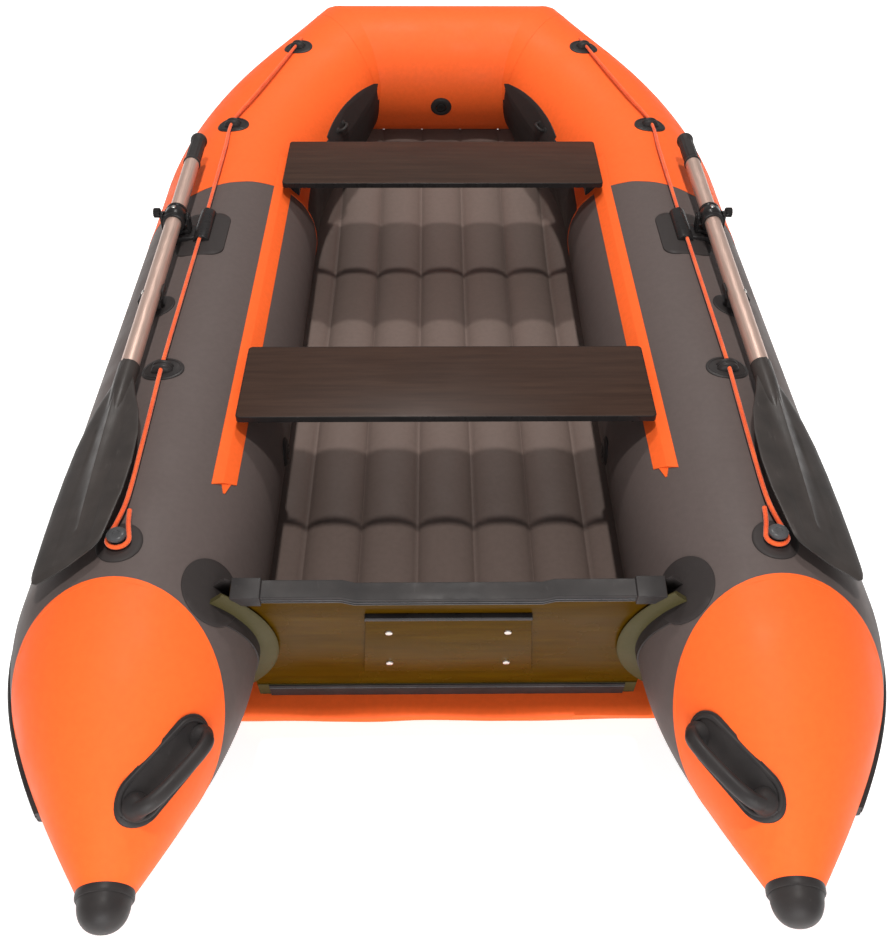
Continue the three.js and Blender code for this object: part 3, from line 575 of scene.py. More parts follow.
def half_axis():
    """The tube's centre line and radius from the starboard tail's tip to the middle of the bow."""
    bend = Vector((SIDE_X, BEND_Y))
    corner = Vector((BOW_CORNER_X, BOW_Y))
    plan = rounded_corner(Vector((SIDE_X, 0)), bend, corner, BEND_RADIUS, 60)
    plan += [plan[-1].lerp(corner, share) for share in np.linspace(0, 1, 40)[1:]]
    straight = [(SIDE_X, y) for y in np.linspace(TAIL_Y, plan[0].y, 200)[1:-1]]
    plan = straight + [tuple(p) for p in plan] + [(x, BOW_Y) for x in np.linspace(plan[-1].x, 0, 20)[1:]]
    stations = [tail_station(t) for t in np.linspace(1, 0, 80)]
    return stations + [forward_station(x, y) for x, y in plan]


STATIONS = half_axis()
RAW_CENTRES = np.array([centre for centre, _ in STATIONS])
RAW_LENGTHS = np.concatenate([[0], np.cumsum(np.linalg.norm(np.diff(RAW_CENTRES, axis=0), axis=1))])
AXIS_LENGTH = RAW_LENGTHS[-1]
AXIS_S = np.linspace(0, AXIS_LENGTH, 700)
AXIS_CENTRES = np.column_stack([np.interp(AXIS_S, RAW_LENGTHS, RAW_CENTRES[:, k]) for k in range(3)])
AXIS_RADII = np.interp(AXIS_S, RAW_LENGTHS, np.array([radius for _, radius in STATIONS]))


CORNER_S = RAW_LENGTHS[np.argmin(np.linalg.norm(RAW_CENTRES[:, :2] - (BOW_CORNER_X, BOW_Y), axis=1))]


def axis_tangents():
    """Directions along the centre line, smoothed except across the bow corner."""
    tangents = np.gradient(AXIS_CENTRES, axis=0)
    tangents[-1] = (-1, 0, 0)
    kernel = np.ones(9) / 9
    padded = np.vstack([tangents[:1]] * 4 + [tangents] + [tangents[-1:]] * 4)
    tangents = np.column_stack([np.convolve(padded[:, k], kernel, "valid") for k in range(3)])
    blurred = 0.03
    before = (AXIS_S > CORNER_S - blurred) & (AXIS_S < CORNER_S)
    after = (AXIS_S >= CORNER_S) & (AXIS_S < CORNER_S + blurred)
    tangents[before] = tangents[np.argmax(before) - 1]
    tangents[after] = tangents[len(after) - np.argmax(after[::-1])]
    return tangents / np.linalg.norm(tangents, axis=1)[:, None]


def axis_frames():
    """Tangent, outboard and up vectors; near the bow corner the outboard ones lean into its mitre plane."""
    tangents = axis_tangents()
    outboard = np.cross(tangents, (0, 0, 1))
    outboard /= np.linalg.norm(outboard, axis=1)[:, None]
    up = np.cross(outboard, tangents)
    gap = CORNER_S - AXIS_S
    lean = np.clip(1 - np.abs(gap) / MITRE_REACH, 0, 1) * np.where(gap > 0, 1, -1)
    entry, leaving = tangents[AXIS_S < CORNER_S][-1], tangents[AXIS_S >= CORNER_S][0]
    half_turn = math.acos(float(np.dot(entry, leaving))) / 2
    level = tangents * (1, 1, 0)
    return tangents, outboard + level * (lean * math.tan(half_turn))[:, None], up


AXIS_TANGENTS, AXIS_OUTBOARD, AXIS_UP = axis_frames()


def along_axis(table, s):
    return np.column_stack([np.interp(s, AXIS_S, table[:, k]) for k in range(3)])


def tube_points(s, degrees, lift=0.0):
    """Points on the starboard tube: how far along it, angle from outboard up, height over the fabric."""
    s, degrees, lift = np.broadcast_arrays(np.asarray(s, float), np.asarray(degrees, float), lift)
    shape = s.shape
    s, turn, lift = s.ravel(), np.radians(degrees.ravel()), lift.ravel()
    reach = (np.interp(s, AXIS_S, AXIS_RADII) + lift)[:, None]
    out = along_axis(AXIS_OUTBOARD, s) * np.cos(turn)[:, None]
    out = out + along_axis(AXIS_UP, s) * np.sin(turn)[:, None]
    return (along_axis(AXIS_CENTRES, s) + reach * out).reshape(*shape, 3)


def axis_at(point):
    """The station nearest a point: how far along the tube it is, and the axis point there."""
    gaps = np.linalg.norm(AXIS_CENTRES - np.array(point), axis=1)
    i = int(np.argmin(gaps))
    s = AXIS_S[i] + float(np.dot(np.array(point) - AXIS_CENTRES[i], AXIS_TANGENTS[i]))
    s = min(max(s, 0.0), AXIS_LENGTH)
    return s, Vector(along_axis(AXIS_CENTRES, [s])[0])


def on_tube(point, lift):
    """The point moved straight out of the tube's axis to this height over the fabric."""
    s, centre = axis_at(point)
    out = (Vector(point) - centre).normalized()
    return centre + out * (float(np.interp(s, AXIS_S, AXIS_RADII)) + lift)


def tube_frame(spot, direction=None):
    """A frame on the tube at the spot: X across it, Y along it or in the direction, Z out of it."""
    s, centre = axis_at(spot)
    tangent = Vector(along_axis(AXIS_TANGENTS, [s])[0])
    surface = on_tube(spot, 0)
    taper = float(np.interp(s + 0.01, AXIS_S, AXIS_RADII) - np.interp(s - 0.01, AXIS_S, AXIS_RADII)) / 0.02
    normal = ((surface - centre).normalized() - tangent * taper).normalized()
    along = Vector(direction).normalized() if direction else tangent
    along = (along - normal * along.dot(normal)).normalized()
    across = along.cross(normal)
    basis = Matrix((across, along, normal)).transposed().to_4x4()
    return Matrix.Translation(surface) @ basis


def patch(frame_matrix, outline, thickness, rings=7):
    """A patch glued to the tube: the outline laid on the fabric, with a rounded edge."""
    outline = np.array(outline)
    middle = outline.mean(axis=0)
    mean_radius = np.linalg.norm(outline - middle, axis=1).mean()
    inset = 1 - 0.0016 / mean_radius
    steps = [(1.0, -0.0015), (1.0, 0.55 * thickness), (inset, thickness)]
    steps += [(inset * (1 - i / rings), thickness) for i in range(1, rings)]
    rows = []
    for scale, lift in steps:
        flat = middle + (outline - middle) * scale
        rows.append([on_tube(frame_matrix @ Vector((x, y, 0)), lift) for x, y in flat])
    return Shape().grid(rows, caps=(True, True))


# ------------------------------------------------------------------ seams

RING_SIDES = 96
RING_DEGREES = np.arange(RING_SIDES) * 360 / RING_SIDES


def seam_station(degrees, side_of_seam):
    """Where a line along the tube at this angle crosses the seam."""
    points = tube_points(AXIS_S, np.full_like(AXIS_S, degrees))
    value = side_of_seam(points)
    i = int(np.argmax(value > 0))
    share = -value[i - 1] / (value[i] - value[i - 1])
    return AXIS_S[i - 1] + share * (AXIS_S[i] - AXIS_S[i - 1])


def ahead_of_tail_seam(points):
    return points[:, 1] - TAIL_SEAM_Y - TAIL_SEAM_SLOPE * (points[:, 2] - TUBE_Z)


def ahead_of_bow_seam(points):
    return points[:, 1] - BOW_SEAM_Y + BOW_SEAM_SLOPE * np.abs(points[:, 0])


TAIL_SEAM = np.array([seam_station(a, ahead_of_tail_seam) for a in RING_DEGREES])
BOW_SEAM = np.array([seam_station(a, ahead_of_bow_seam) for a in RING_DEGREES])


def lofted(start, end, count, puckers=()):
    """Rings from one seam to another. puckers are the seams that gather the fabric near them."""
    shares = np.linspace(0, 1, count)[:, None]
    s = start[None, :] * (1 - shares) + end[None, :] * shares
    degrees = np.broadcast_to(RING_DEGREES, s.shape)
    lift = np.zeros_like(s)
    for seam in puckers:
        gap = np.abs(s - seam[None, :])
        folds = np.sin(np.radians(degrees) * 24) * 0.6 + np.sin(np.radians(degrees) * 17 + 1) * 0.4
        lift += 0.0006 * folds * np.exp(-gap / 0.03)
    return tube_points(s, degrees, lift)


def side_tube():
    return Shape().grid(lofted(TAIL_SEAM, BOW_SEAM, 120, (TAIL_SEAM, BOW_SEAM)))


def tail_cone():
    return Shape().grid(lofted(np.zeros(RING_SIDES), TAIL_SEAM, 60, (TAIL_SEAM,)))


def bow_tube():
    corner = np.full(RING_SIDES, CORNER_S)
    side = lofted(BOW_SEAM, corner, 80, (BOW_SEAM,))
    front = lofted(corner, np.full(RING_SIDES, AXIS_LENGTH), 40)
    half = np.concatenate([side, front[1:]])
    other = half[::-1][1:].copy()
    other[..., 0] *= -1
    return Shape().grid(np.concatenate([half, other]))


def band(middle, width, thickness):
    """A tape round the tube, centred on a seam."""
    profile = [(-width / 2, -0.0008), (-width / 2 + 0.0006, thickness), (width / 2 - 0.0006, thickness),
               (width / 2, -0.0008)]
    rows = [tube_points(middle + offset, RING_DEGREES, lift) for offset, lift in profile]
    inner = [tube_points(middle + offset, RING_DEGREES, -0.002) for offset, _ in (profile[3], profile[0])]
    return Shape().grid(np.array(rows + inner + [rows[0]]), caps=(False, False))


def tail_cap():
    s = 0.0
    tip = Vector(along_axis(AXIS_CENTRES, [s])[0])
    aft = -Vector(along_axis(AXIS_TANGENTS, [s])[0])
    matrix = Matrix.Translation(tip) @ aft.to_track_quat("Z", "Y").to_matrix().to_4x4()
    r = TAIL_RADIUS
    profile = [(r - 0.006, -0.006), (r + 0.0016, -0.005), (r + 0.0022, -0.002), (r + 0.0022, 0.006),
               (r + 0.001, 0.0085), (r - 0.001, 0.009), (r - 0.0012, 0.012)]
    dome = [(math.cos(a), math.sin(a)) for a in np.linspace(0.05, math.pi / 2 - 0.02, 14)]
    profile += [((r - 0.002) * c**0.8, 0.013 + (TAIL_CAP_LENGTH - 0.013) * d) for c, d in dome]
    return Shape().turned(profile, matrix, 64)


# The lining's upper edge: its angle at stations of the tube, and how far across it each lift begins.
LINING_TOP_S = [0.0, 2.10, CORNER_S]
LINING_TOP_DEGREES = [156.0, 156.5, 169.5]
LINING_EDGE = [(share, 0.0011) for share in np.linspace(0, 0.995, 24)] + [(1.0, -0.0005)]


def rubbing_strake():
    """A ribbed rubber belt along the outboard side, from the tail round to the middle of the bow."""
    profile = [(-8, -0.001), (-7.6, 0.004), (-6.4, 0.0074), (-4.6, 0.0078), (-3.6, 0.0048), (-2.6, 0.0048),
               (-1.8, 0.0079), (0.6, 0.0079), (1.4, 0.0048), (2.4, 0.0048), (3.4, 0.0078), (5.4, 0.0074),
               (6.6, 0.004), (7, -0.001), (3, -0.002), (-3, -0.002)]
    start = axis_at((SIDE_X - 0.01, -1.175, TUBE_Z))[0]
    s = np.linspace(start, AXIS_LENGTH, 260)
    rows = [tube_points(np.full(len(profile), at), [a for a, _ in profile],
                        np.array([lift for _, lift in profile])) for at in s]
    return Shape().grid(rows)


def bow_lining():
    """The dark cloth on the inner wall of the bow, from the side tube's seam to the corner's mitre."""
    lowest = 228
    rows = []
    for share in np.linspace(0, 1, 70):
        row = []
        for rise, lift in LINING_EDGE + LINING_EDGE[::-1]:
            s = 0.0
            for _ in range(3):
                top = np.interp(s, LINING_TOP_S, LINING_TOP_DEGREES)
                degrees = lowest + (top - lowest) * rise
                seam = np.interp(degrees, RING_DEGREES, BOW_SEAM)
                s = seam + (CORNER_S - 0.001 - seam) * share
            row.append(tube_points([s], [degrees], lift if len(row) < len(LINING_EDGE) else -0.002)[0])
        rows.append(row)
    return Shape().grid(rows)


def build_tubes():
    both_sides("side_tube", "hull", GREY, side_tube(), "side_tube")
    both_sides("tail_cone", "hull", ORANGE, tail_cone(), "tail_cone")
    both_sides("tail_cap", "hull", RUBBER, tail_cap(), "tail_cap")
    both_sides("rubbing_strake", "hull", RUBBER, rubbing_strake(), "rubbing_strake")
    piece("bow_tube.fine", "hull", ORANGE, bow_tube(), ["bow_tube"])
    both_sides("tail_seam_lap", "hull", ORANGE, band(TAIL_SEAM - 0.004, 0.010, 0.0004))
    both_sides("bow_seam_lap", "hull", ORANGE, band(BOW_SEAM + 0.009, 0.020, 0.0008))
    both_sides("bow_lining", "hull", DARK, bow_lining(), smooth_angle=60)
    mitre = np.array([seam_station(a, ahead_of_mitre) for a in RING_DEGREES])
    both_sides("bow_mitre_lap", "hull", ORANGE, band(mitre, 0.026, 0.0006))


def ahead_of_mitre(points):
    """The bow's corner seam, in the plane that halves the corner."""
    corner = np.array([BOW_CORNER_X, BOW_Y, 0])
    fore = np.array([-1.0, 0, 0])
    side = np.array([BOW_CORNER_X - SIDE_X, BOW_Y - BEND_Y, 0])
    normal = fore + side / np.linalg.norm(side)
    return (points - corner) @ normal


# ------------------------------------------------------------------ inflatable bottom


def channel_height(x):
    """The floor's crown between two welts, from 0 at a welt to 1."""
    edges = [-0.400] + WELTS + [0.400]
    for low, high in zip(edges, edges[1:]):
        if low <= x <= high:
            across = (x - (low + high) / 2) / ((high - low) / 2)
            return max(1 - abs(across) ** 2.2, 0.0) ** 0.62
    return 0.0


def floor_rise(y):
    return min(max((y - RISE_Y) / SLIM_SPAN, 0), 1) ** 2


def floor_half_width(y):
    """Half the bottom's width: it ends inside the tube, a little outboard of where they touch."""
    inside = np.column_stack([AXIS_CENTRES[:, 1], AXIS_CENTRES[:, 0]])
    ahead = AXIS_CENTRES[:, 1] > TAIL_Y
    x = np.interp(y, inside[ahead][:, 0], inside[ahead][:, 1]) if y < BOW_Y - 0.001 else BOW_CORNER_X
    return max(x - 0.075, 0.05)


def inflatable_bottom():
    aft, fore = -0.780, 1.108
    ys = np.linspace(aft, fore, 190)
    beside_welts = {w + d for w in WELTS for d in (-0.002, 0.002)}
    columns = sorted(set(np.linspace(-0.450, 0.450, 181).round(4)) | beside_welts)
    rows = []
    for y in ys:
        rise = floor_rise(y)
        half = floor_half_width(y)
        crown = CHANNEL_CROWN * (1 - 0.6 * rise)
        top_base = FLOOR_TOP + 0.135 * rise
        top = []
        for x in columns:
            at = max(-half, min(half, x))
            ripple = 0.0012 * noise.noise(Vector((at * 5, y * 3.2, 0)))
            ripple += 0.0009 * noise.noise(Vector((at * 14, y * 9, 4)))
            top.append((at, y, top_base + crown * channel_height(at) + ripple))
        under = 0.205 * rise
        bottom = []
        for x in reversed(columns):
            at = max(-half, min(half, x))
            dish = 0.010 * channel_height(at)
            bottom.append((at, y, under + 0.0105 - dish))
        rows.append(top + bottom)
    return Shape().grid(rows)


def floor_welt(x):
    ys = np.linspace(-0.779, 0.98, 150)
    path = [(x, y, FLOOR_TOP + 0.135 * floor_rise(y) + 0.0012) for y in ys]
    return Shape().swept(path, lambda share: [(1.6 * a, b) for a, b in circle(0.0013, 8)])


def build_bottom():
    node = "inflatable_bottom"
    piece(f"{node}.fine", "hull", FLOOR, inflatable_bottom(), [node], smooth_angle=60)
    for i, x in enumerate(WELTS):
        piece(f"floor_welt_{i + 1}", "hull", WELT, floor_welt(x))


# ------------------------------------------------------------------ transom


def on_board(x, z, out):
    """A point of the transom's own frame: world height z, distance out aft of its aft face."""
    return Vector((x, TRANSOM_Y - TRANSOM_SLOPE * z - out / math.cos(TRANSOM_RAKE), z))


def board_plate(corners, low, high):
    """A plate on the board's aft face, from (x, world height) corners."""
    return Shape().grid([[on_board(x, z, out) for x, z in corners] for out in (low, high)])


def motor_plate():
    return board_plate([(-0.150, 0.149), (0.150, 0.149), (0.137, 0.342), (-0.137, 0.342)], 0.0003, 0.008)


def transom_strip(node, look, bevel):
    piece(f"{node}.fine", "hull", look, cad_shape(node), [node], bevel=bevel)


def holder_flange(low, high):
    """A curved plate standing on the tube beside the board, between two distances from its aft face."""
    rows = []
    for degrees in np.linspace(135, 238, 40):
        row = []
        middle = (low + high) / 2
        for lift, out in ((-0.003, low), (0.030, low), (0.034, middle), (0.030, high), (-0.003, high)):
            turn = math.radians(degrees)
            reach = MAIN_RADIUS + lift
            x, z = SIDE_X + reach * math.cos(turn), TUBE_Z + reach * math.sin(turn)
            row.append(on_board(x, z, out))
        rows.append(row)
    return Shape().grid(rows)


def holder_skin():
    """The fabric that wraps the tube on both sides of the board."""
    rows = []
    for degrees in np.linspace(136, 240, 48):
        row = []
        for out, lift in ((-0.046, -0.001), (-0.0455, 0.0022), (-0.030, 0.0024),
                          (0.020, 0.0024), (0.0355, 0.0022), (0.036, -0.001)):
            turn = math.radians(degrees)
            z = TUBE_Z + MAIN_RADIUS * math.sin(turn)
            y = TRANSOM_Y - TRANSOM_SLOPE * z - out / math.cos(TRANSOM_RAKE)
            s = axis_at((SIDE_X, y, TUBE_Z))[0]
            row.append(tube_points([s], [degrees], lift)[0])
        rows.append(row)
    return Shape().grid(rows)


def transom_skirt():
    """The orange fabric roll that closes the bottom under the transom, with a soft fold along it."""
    profile = [(SKIRT_FORE_Y, 0.0005), (-0.812, 0.0), (-0.842, 0.001), (-0.857, 0.006), (-0.867, 0.015),
               (SKIRT_AFT_Y, 0.026), (-0.871, 0.035), (-0.864, 0.0395), (-0.850, 0.0405), (-0.815, 0.0405),
               (SKIRT_FORE_Y, 0.0405)]
    rows = []
    for x in np.linspace(-SKIRT_HALF, SKIRT_HALF, 120):
        sag = 1 - (abs(x) / SKIRT_HALF) ** 4
        row = []
        for y, z in profile:
            out = (y - SKIRT_FORE_Y) / (SKIRT_AFT_Y - SKIRT_FORE_Y)
            fold = 0.0016 * math.sin(x * 21 + z * 90) * out
            fold += 0.0022 * noise.noise(Vector((x * 9, z * 40, 2))) * out
            crease = -0.003 * out * math.exp(-(((z - 0.017 - 0.012 * x / SKIRT_HALF) / 0.003) ** 2))
            row.append((x, y + fold - crease + 0.004 * (1 - sag), max(z, 0.0)))
        rows.append(row)
    return Shape().grid(rows)


def motor_bolts():
    shape = Shape()
    for x, z in ((0.100, 0.300), (-0.100, 0.300), (0.103, 0.186), (-0.103, 0.186)):
        matrix = Matrix.Translation(on_board(x, z, 0)) @ Matrix.Rotation(math.pi / 2 + TRANSOM_RAKE, 4, "X")
        shape.turned([(0.0068, 0.0075), (0.0068, 0.009), (0.0058, 0.0106), (0.003, 0.0111), (0.0002, 0.0112)],
                     matrix, 24)
    return shape


def trim_ridges():
    """Two fine ribs along the aft face of the transom's top trim. They are real ridges of the black rubber
    trim; their lighter grey colour is a painted highlight.
    """
    shape = Shape()
    half = [(-0.153, TRANSOM_NOTCH_Z), (-0.173, TRANSOM_TOP_Z), (-0.300, TRANSOM_TOP_Z)]
    for drop, out in ((0.004, 0.0043), (0.0105, 0.0043)):
        path = [on_board(x, z - drop, out) for x, z in half[::-1] + [(-x, z) for x, z in half]]
        shape.swept(path, lambda share: circle(0.0011, 8))
    return shape


def build_transom():
    transom_strip("transom_board", PLYWOOD, 0.0012)
    transom_strip("transom_top_trim", RUBBER, 0.0016)
    transom_strip("transom_foot_profile", RUBBER, 0.0008)
    piece("motor_plate.fine", "hull", PLYWOOD, motor_plate(), ["motor_plate"], bevel=0.0008)
    piece("transom_foot_band", "hull", OLIVE, board_plate([(-0.351, 0.042), (0.351, 0.042), (0.351, 0.083),
                                                          (-0.351, 0.083)], 0.0001, 0.0014))
    transom_strip("motor_plate_strip", PLASTIC, 0.0012)
    piece("motor_plate_bolts", "hull", STEEL, motor_bolts())
    # the trim's ribs in lighter grey plastic: a painted highlight on real ridges of the black rubber trim
    piece("transom_trim_ribs_painted_highlight", "hull", SATIN, trim_ridges())
    line = [on_board(x, 0.0745, 0.0048) for x in (-0.329, 0.329)]
    piece("transom_foot_line", "hull", SATIN, Shape().swept(line, lambda share: circle(0.0014, 8)))
    piece("transom_skirt.fine", "hull", ORANGE, transom_skirt(), ["transom_skirt"], smooth_angle=60)
    aft = holder_flange(0.0004, 0.0092)
    fore = holder_flange(-TRANSOM_THICKNESS - 0.006, -TRANSOM_THICKNESS - 0.0004)
    both_sides("transom_holder", "hull", OLIVE, aft, "transom_holder", smooth_angle=55)
    both_sides("transom_holder_fore", "hull", DARK, fore, smooth_angle=55)
    both_sides("transom_holder_skin", "hull", DARK, holder_skin(), smooth_angle=55)
    crown = tube_frame((0.382, -0.872, 0.399))
    both_sides("transom_holder_patch", "hull", DARK, patch(crown, ellipse(0.058, 0.062), 0.003))


# ------------------------------------------------------------------ rails and benches

RAIL_FORE_Y = 0.560
SLIDE_SHARE = 0.55  # the moulded slide is shorter than the block that stands for it
RAIL_AFT_Y = {"starboard": -0.612, "port": -0.650}


def station_at_y(y):
    return float(np.interp(y, AXIS_CENTRES[AXIS_S < 2.2][:, 1], AXIS_S[AXIS_S < 2.2]))


def rail_strip(aft_y):
    """The fabric strip that the benches slide on, a low ridge along it, its aft end cut on the slant."""
    profile = [(124, -0.001), (124.15, 0.0012), (129.3, 0.0044), (129.9, 0.0044), (137.8, 0.0012),
               (138, -0.001), (131, -0.002)]
    fore, aft = station_at_y(RAIL_FORE_Y), station_at_y(aft_y)
    rows = []
    for share in np.linspace(0, 1, 150):
        row = []
        for degrees, lift in profile:
            notch = 0.028 * (degrees - 124) / 14
            s = aft + notch + (fore - aft - notch) * share
            row.append(tube_points([s], [degrees], lift)[0])
        rows.append(row)
    return Shape().grid(rows)


def rail_flap(aft_y):
    """The small folded tongue at the strip's aft end."""
    start = station_at_y(aft_y)
    rows = []
    for share in np.linspace(0, 1, 8):
        s = start + 0.022 - 0.030 * share
        half = 3.3 * (1 - 0.85 * share)
        row = [tube_points([s], [131.6 + a * half], lift)[0]
               for a, lift in ((-1, -0.001), (-0.9, 0.0016), (0.9, 0.0016), (1, -0.001))]
        rows.append(row)
    return Shape().grid(rows)


def bench_board(node):
    """The board, its long edges eased, inside its edging."""
    low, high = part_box(node)
    middle = (low + high) / 2
    size = high - low
    outline = rounded_rectangle(size.x - 0.003, size.y - 0.003, 0.007)
    matrix = Matrix.Translation((middle.x, middle.y, 0))
    return Shape().prism(outline, low.z + 0.0004, high.z, matrix)


def bench_edging(node):
    low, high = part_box(node)
    middle = (low + high) / 2
    size = high - low
    matrix = Matrix.Translation((middle.x, middle.y, 0))
    profile = [(0.0045, low.z), (0.0, low.z), (0.0, high.z - 0.0008), (0.0008, high.z), (0.0016, high.z),
               (0.0018, high.z - 0.0006), (0.0018, low.z + 0.001), (0.0045, low.z + 0.0008)]
    rows = []
    for inset, z in profile + profile[:1]:
        outline = rounded_rectangle(size.x - 2 * inset, size.y - 2 * inset, 0.0085 - inset)
        rows.append([matrix @ Vector((x, y, z)) for x, y in outline])
    return Shape().grid(rows, caps=(False, False))


def shortened(shape, share):
    """The shape squeezed along the boat about its own middle."""
    ys = [p[1] for p in shape.points]
    middle = (min(ys) + max(ys)) / 2
    shape.points = [(x, middle + (y - middle) * share, z) for x, y, z in shape.points]
    return shape


def build_benches():
    for side, aft_y in RAIL_AFT_Y.items():
        mirror = side == "port"
        piece(f"{side}_seat_rail.fine", "hull", ORANGE, rail_strip(aft_y), [f"{side}_seat_rail"], mirror,
              smooth_angle=30)
        piece(f"{side}_seat_rail_flap", "hull", ORANGE, rail_flap(aft_y), (), mirror)
    for end in ("rear", "front"):
        node, body = f"{end}_bench", f"{end}_seat"
        piece(f"{node}.fine", body, BENCH, bench_board(node), [node], bevel=0.0009)
        piece(f"{node}_edging", body, PLASTIC, bench_edging(node))
        for side in ("starboard", "port"):
            slide = f"{node}_{side}_slide"
            block = shortened(cad_shape(slide), SLIDE_SHARE)
            piece(f"{slide}.fine", body, PLASTIC, block, [slide], bevel=0.0012)


# ------------------------------------------------------------------ valves, handles and holders


def bow_valve_frame():
    matrix = tube_frame((0.001, 1.003, 0.344))
    matrix.translation.x = 0
    return matrix


def valve_ring(matrix, bore):
    profile = [(0.030, -0.002), (0.030, 0.0008), (0.0285, 0.0022), (0.0265, 0.0032), (0.0255, 0.0048),
               (0.022, 0.0056), (0.0195, 0.006), (bore + 0.001, 0.0058), (bore, 0.0048), (bore, -0.002)]
    return Shape().turned(profile, matrix, 56)


def knurled(count, depth):
    return lambda angle, height: -depth if math.sin(count * angle) > 0.5 else 0.0


def valve_cap(matrix):
    shape = Shape()
    profile = [(0.0142, 0.0012), (0.0143, 0.0040), (0.0128, 0.0058), (0.0118, 0.0063), (0.0060, 0.0060),
               (0.0040, 0.0046), (0.0002, 0.0045)]
    shape.turned(profile, matrix, 48, knurled(12, 0.0005))
    bar = [(-0.0092, -0.0016), (0.0092, -0.0016), (0.0092, 0.0016), (-0.0092, 0.0016)]
    return shape.prism(bar, 0.0045, 0.0066, matrix)


def stern_handle():
    """A moulded handle: a pad with a raised lip round a recess, and a grip bar bridging it."""
    matrix = tube_frame((0.405, -1.150, 0.340), (-0.085, 0.130, -0.004))
    shape = patch(matrix, rounded_rectangle(0.082, 0.194, 0.040), 0.0035, 9)
    lip = rounded_rectangle(0.064, 0.176, 0.031)
    path = [on_tube(matrix @ Vector((x, y, 0)), 0.0042) for x, y in lip + lip[:1]]
    shape.swept(path, lambda share: [(1.5 * a, b) for a, b in circle(0.0028, 10)])
    rise = [(0.074, -0.004), (0.072, 0.012), (0.058, 0.026), (0.027, 0.0325)]
    arch = [(-0.006, -y, z) for y, z in rise] + [(-0.006, y, z) for y, z in rise[::-1]]

    def section(share):
        swell = 1 + 0.35 * abs(2 * share - 1) ** 6
        return [(1.12 * swell * a, 0.92 * b) for a, b in circle(0.0105, 24)]

    shape.swept(smooth_path(arch, 0.004), section, matrix)
    for y in (-0.069, 0.069):
        foot = matrix @ Matrix.Translation((-0.006, y, 0))
        profile = [(0.021, -0.004), (0.020, 0.004), (0.016, 0.009), (0.012, 0.016), (0.008, 0.017)]
        shape.turned(profile, foot, 28)
    return shape


def dome(matrix, radii, centre=(0, 0, 0), steps=10, sides=32):
    rows = []
    for i in range(steps + 1):
        rise = -0.25 + (math.pi / 2 + 0.23) * i / steps
        row = []
        for j in range(sides):
            turn = 2 * math.pi * j / sides
            x = centre[0] + radii[0] * math.cos(rise) * math.cos(turn)
            y = centre[1] + radii[1] * math.cos(rise) * math.sin(turn)
            row.append(matrix @ Vector((x, y, centre[2] + radii[2] * math.sin(rise))))
        rows.append(row)
    return Shape().grid(rows)


def rope_holder(spot, direction=None):
    """A rubber disc with a double hump that the rope runs through, and a fine rim."""
    matrix = tube_frame(spot, direction)
    shape = patch(matrix, ellipse(0.042, 0.033), 0.0025)
    rim = ellipse(0.036, 0.027, 40)
    path = [on_tube(matrix @ Vector((x, y, 0)), 0.0026) for x, y in rim + rim[:1]]
    shape.swept(path, lambda share: circle(0.0010, 8))
    for along in (-0.0062, 0.0062):
        shape.add(dome(matrix, (0.0215, 0.0088, 0.0172), (0, along, 0)))
    shape.add(dome(matrix, (0.0205, 0.0125, 0.0150)))
    return shape


def tail_anchor():
    matrix = tube_frame(ANCHOR)
    shape = patch(matrix, ellipse(0.038, 0.042), 0.0025)
    return shape


def anchor_spool():
    matrix = tube_frame(ANCHOR)
    profile = [(0.0150, -0.002), (0.0150, 0.0035), (0.0125, 0.0050), (0.0108, 0.0065), (0.0105, 0.0105),
               (0.0108, 0.0142), (0.0130, 0.0162), (0.0158, 0.0175), (0.0162, 0.0205), (0.0145, 0.0228),
               (0.0105, 0.0239), (0.0060, 0.0240), (0.0052, 0.0228), (0.0002, 0.0226)]
    return Shape().turned(profile, matrix, 48)


def leaf_outline():
    right = bent_line((0, -0.150), (0.062, -0.020), (0.030, 0.150), 22)
    left = bent_line((-0.030, 0.150), (-0.062, -0.020), (0, -0.150), 22)
    return right + [(0.030 - 0.06 * i / 6, 0.150) for i in range(6)] + left


def bow_leaf():
    matrix = tube_frame((0.240, 0.880, 0.382), (0.110, -0.225, -0.059))
    return patch(matrix, leaf_outline(), 0.0022, 9)


def bow_ring():
    matrix = tube_frame((0.280, 0.815, 0.372), (0.110, -0.225, -0.059))
    arch = [(0, -0.017, -0.004), (0, -0.017, 0.006), (0, -0.011, 0.0165), (0, 0, 0.0192), (0, 0.011, 0.0165),
            (0, 0.017, 0.006), (0, 0.017, -0.004)]
    shape = Shape().swept(smooth_path(arch, 0.0025), lambda share: circle(0.0045, 16), matrix)
    for y in (-0.017, 0.017):
        shape.turned([(0.010, -0.001), (0.010, 0.0035), (0.008, 0.0055), (0.004, 0.0060)],
                     matrix @ Matrix.Translation((0, y, 0)), 24)
    return shape


def build_fittings():
    matrix = bow_valve_frame()
    piece("bow_valve.fine", "hull", RUBBER, valve_ring(matrix, 0.0152), ["bow_valve"])
    piece("bow_valve_cap.fine", "bow_valve_plug", PLASTIC, valve_cap(matrix), ["bow_valve_cap"])
    side = tube_frame((SIDE_X - MAIN_RADIUS, -0.388, TUBE_Z))
    both_sides("valve", "hull", RUBBER, valve_ring(side, 0.0152).add(valve_cap(side)), "valve")
    both_sides("stern_handle", "hull", RUBBER, stern_handle(), "stern_handle")
    holders = [((0.400, 1.000, 0.521), (0.139, -0.369, -0.052)),
               ((0.539, 0.631, 0.469), (0.060, -0.430, -0.030)),
               ((0.542, -0.370, 0.459), None)]
    for i, (spot, direction) in enumerate(holders):
        name = f"rope_holder_{i + 1}"
        both_sides(name, "hull", RUBBER, rope_holder(spot, direction), name)
    both_sides("tail_anchor", "hull", DARK, tail_anchor(), "tail_anchor")
    both_sides("tail_anchor_spool", "hull", SATIN, anchor_spool())
    both_sides("bow_leaf", "hull", DARK, bow_leaf(), "bow_loop")
    both_sides("bow_ring", "hull", RUBBER, bow_ring())


# ------------------------------------------------------------------ grab ropes


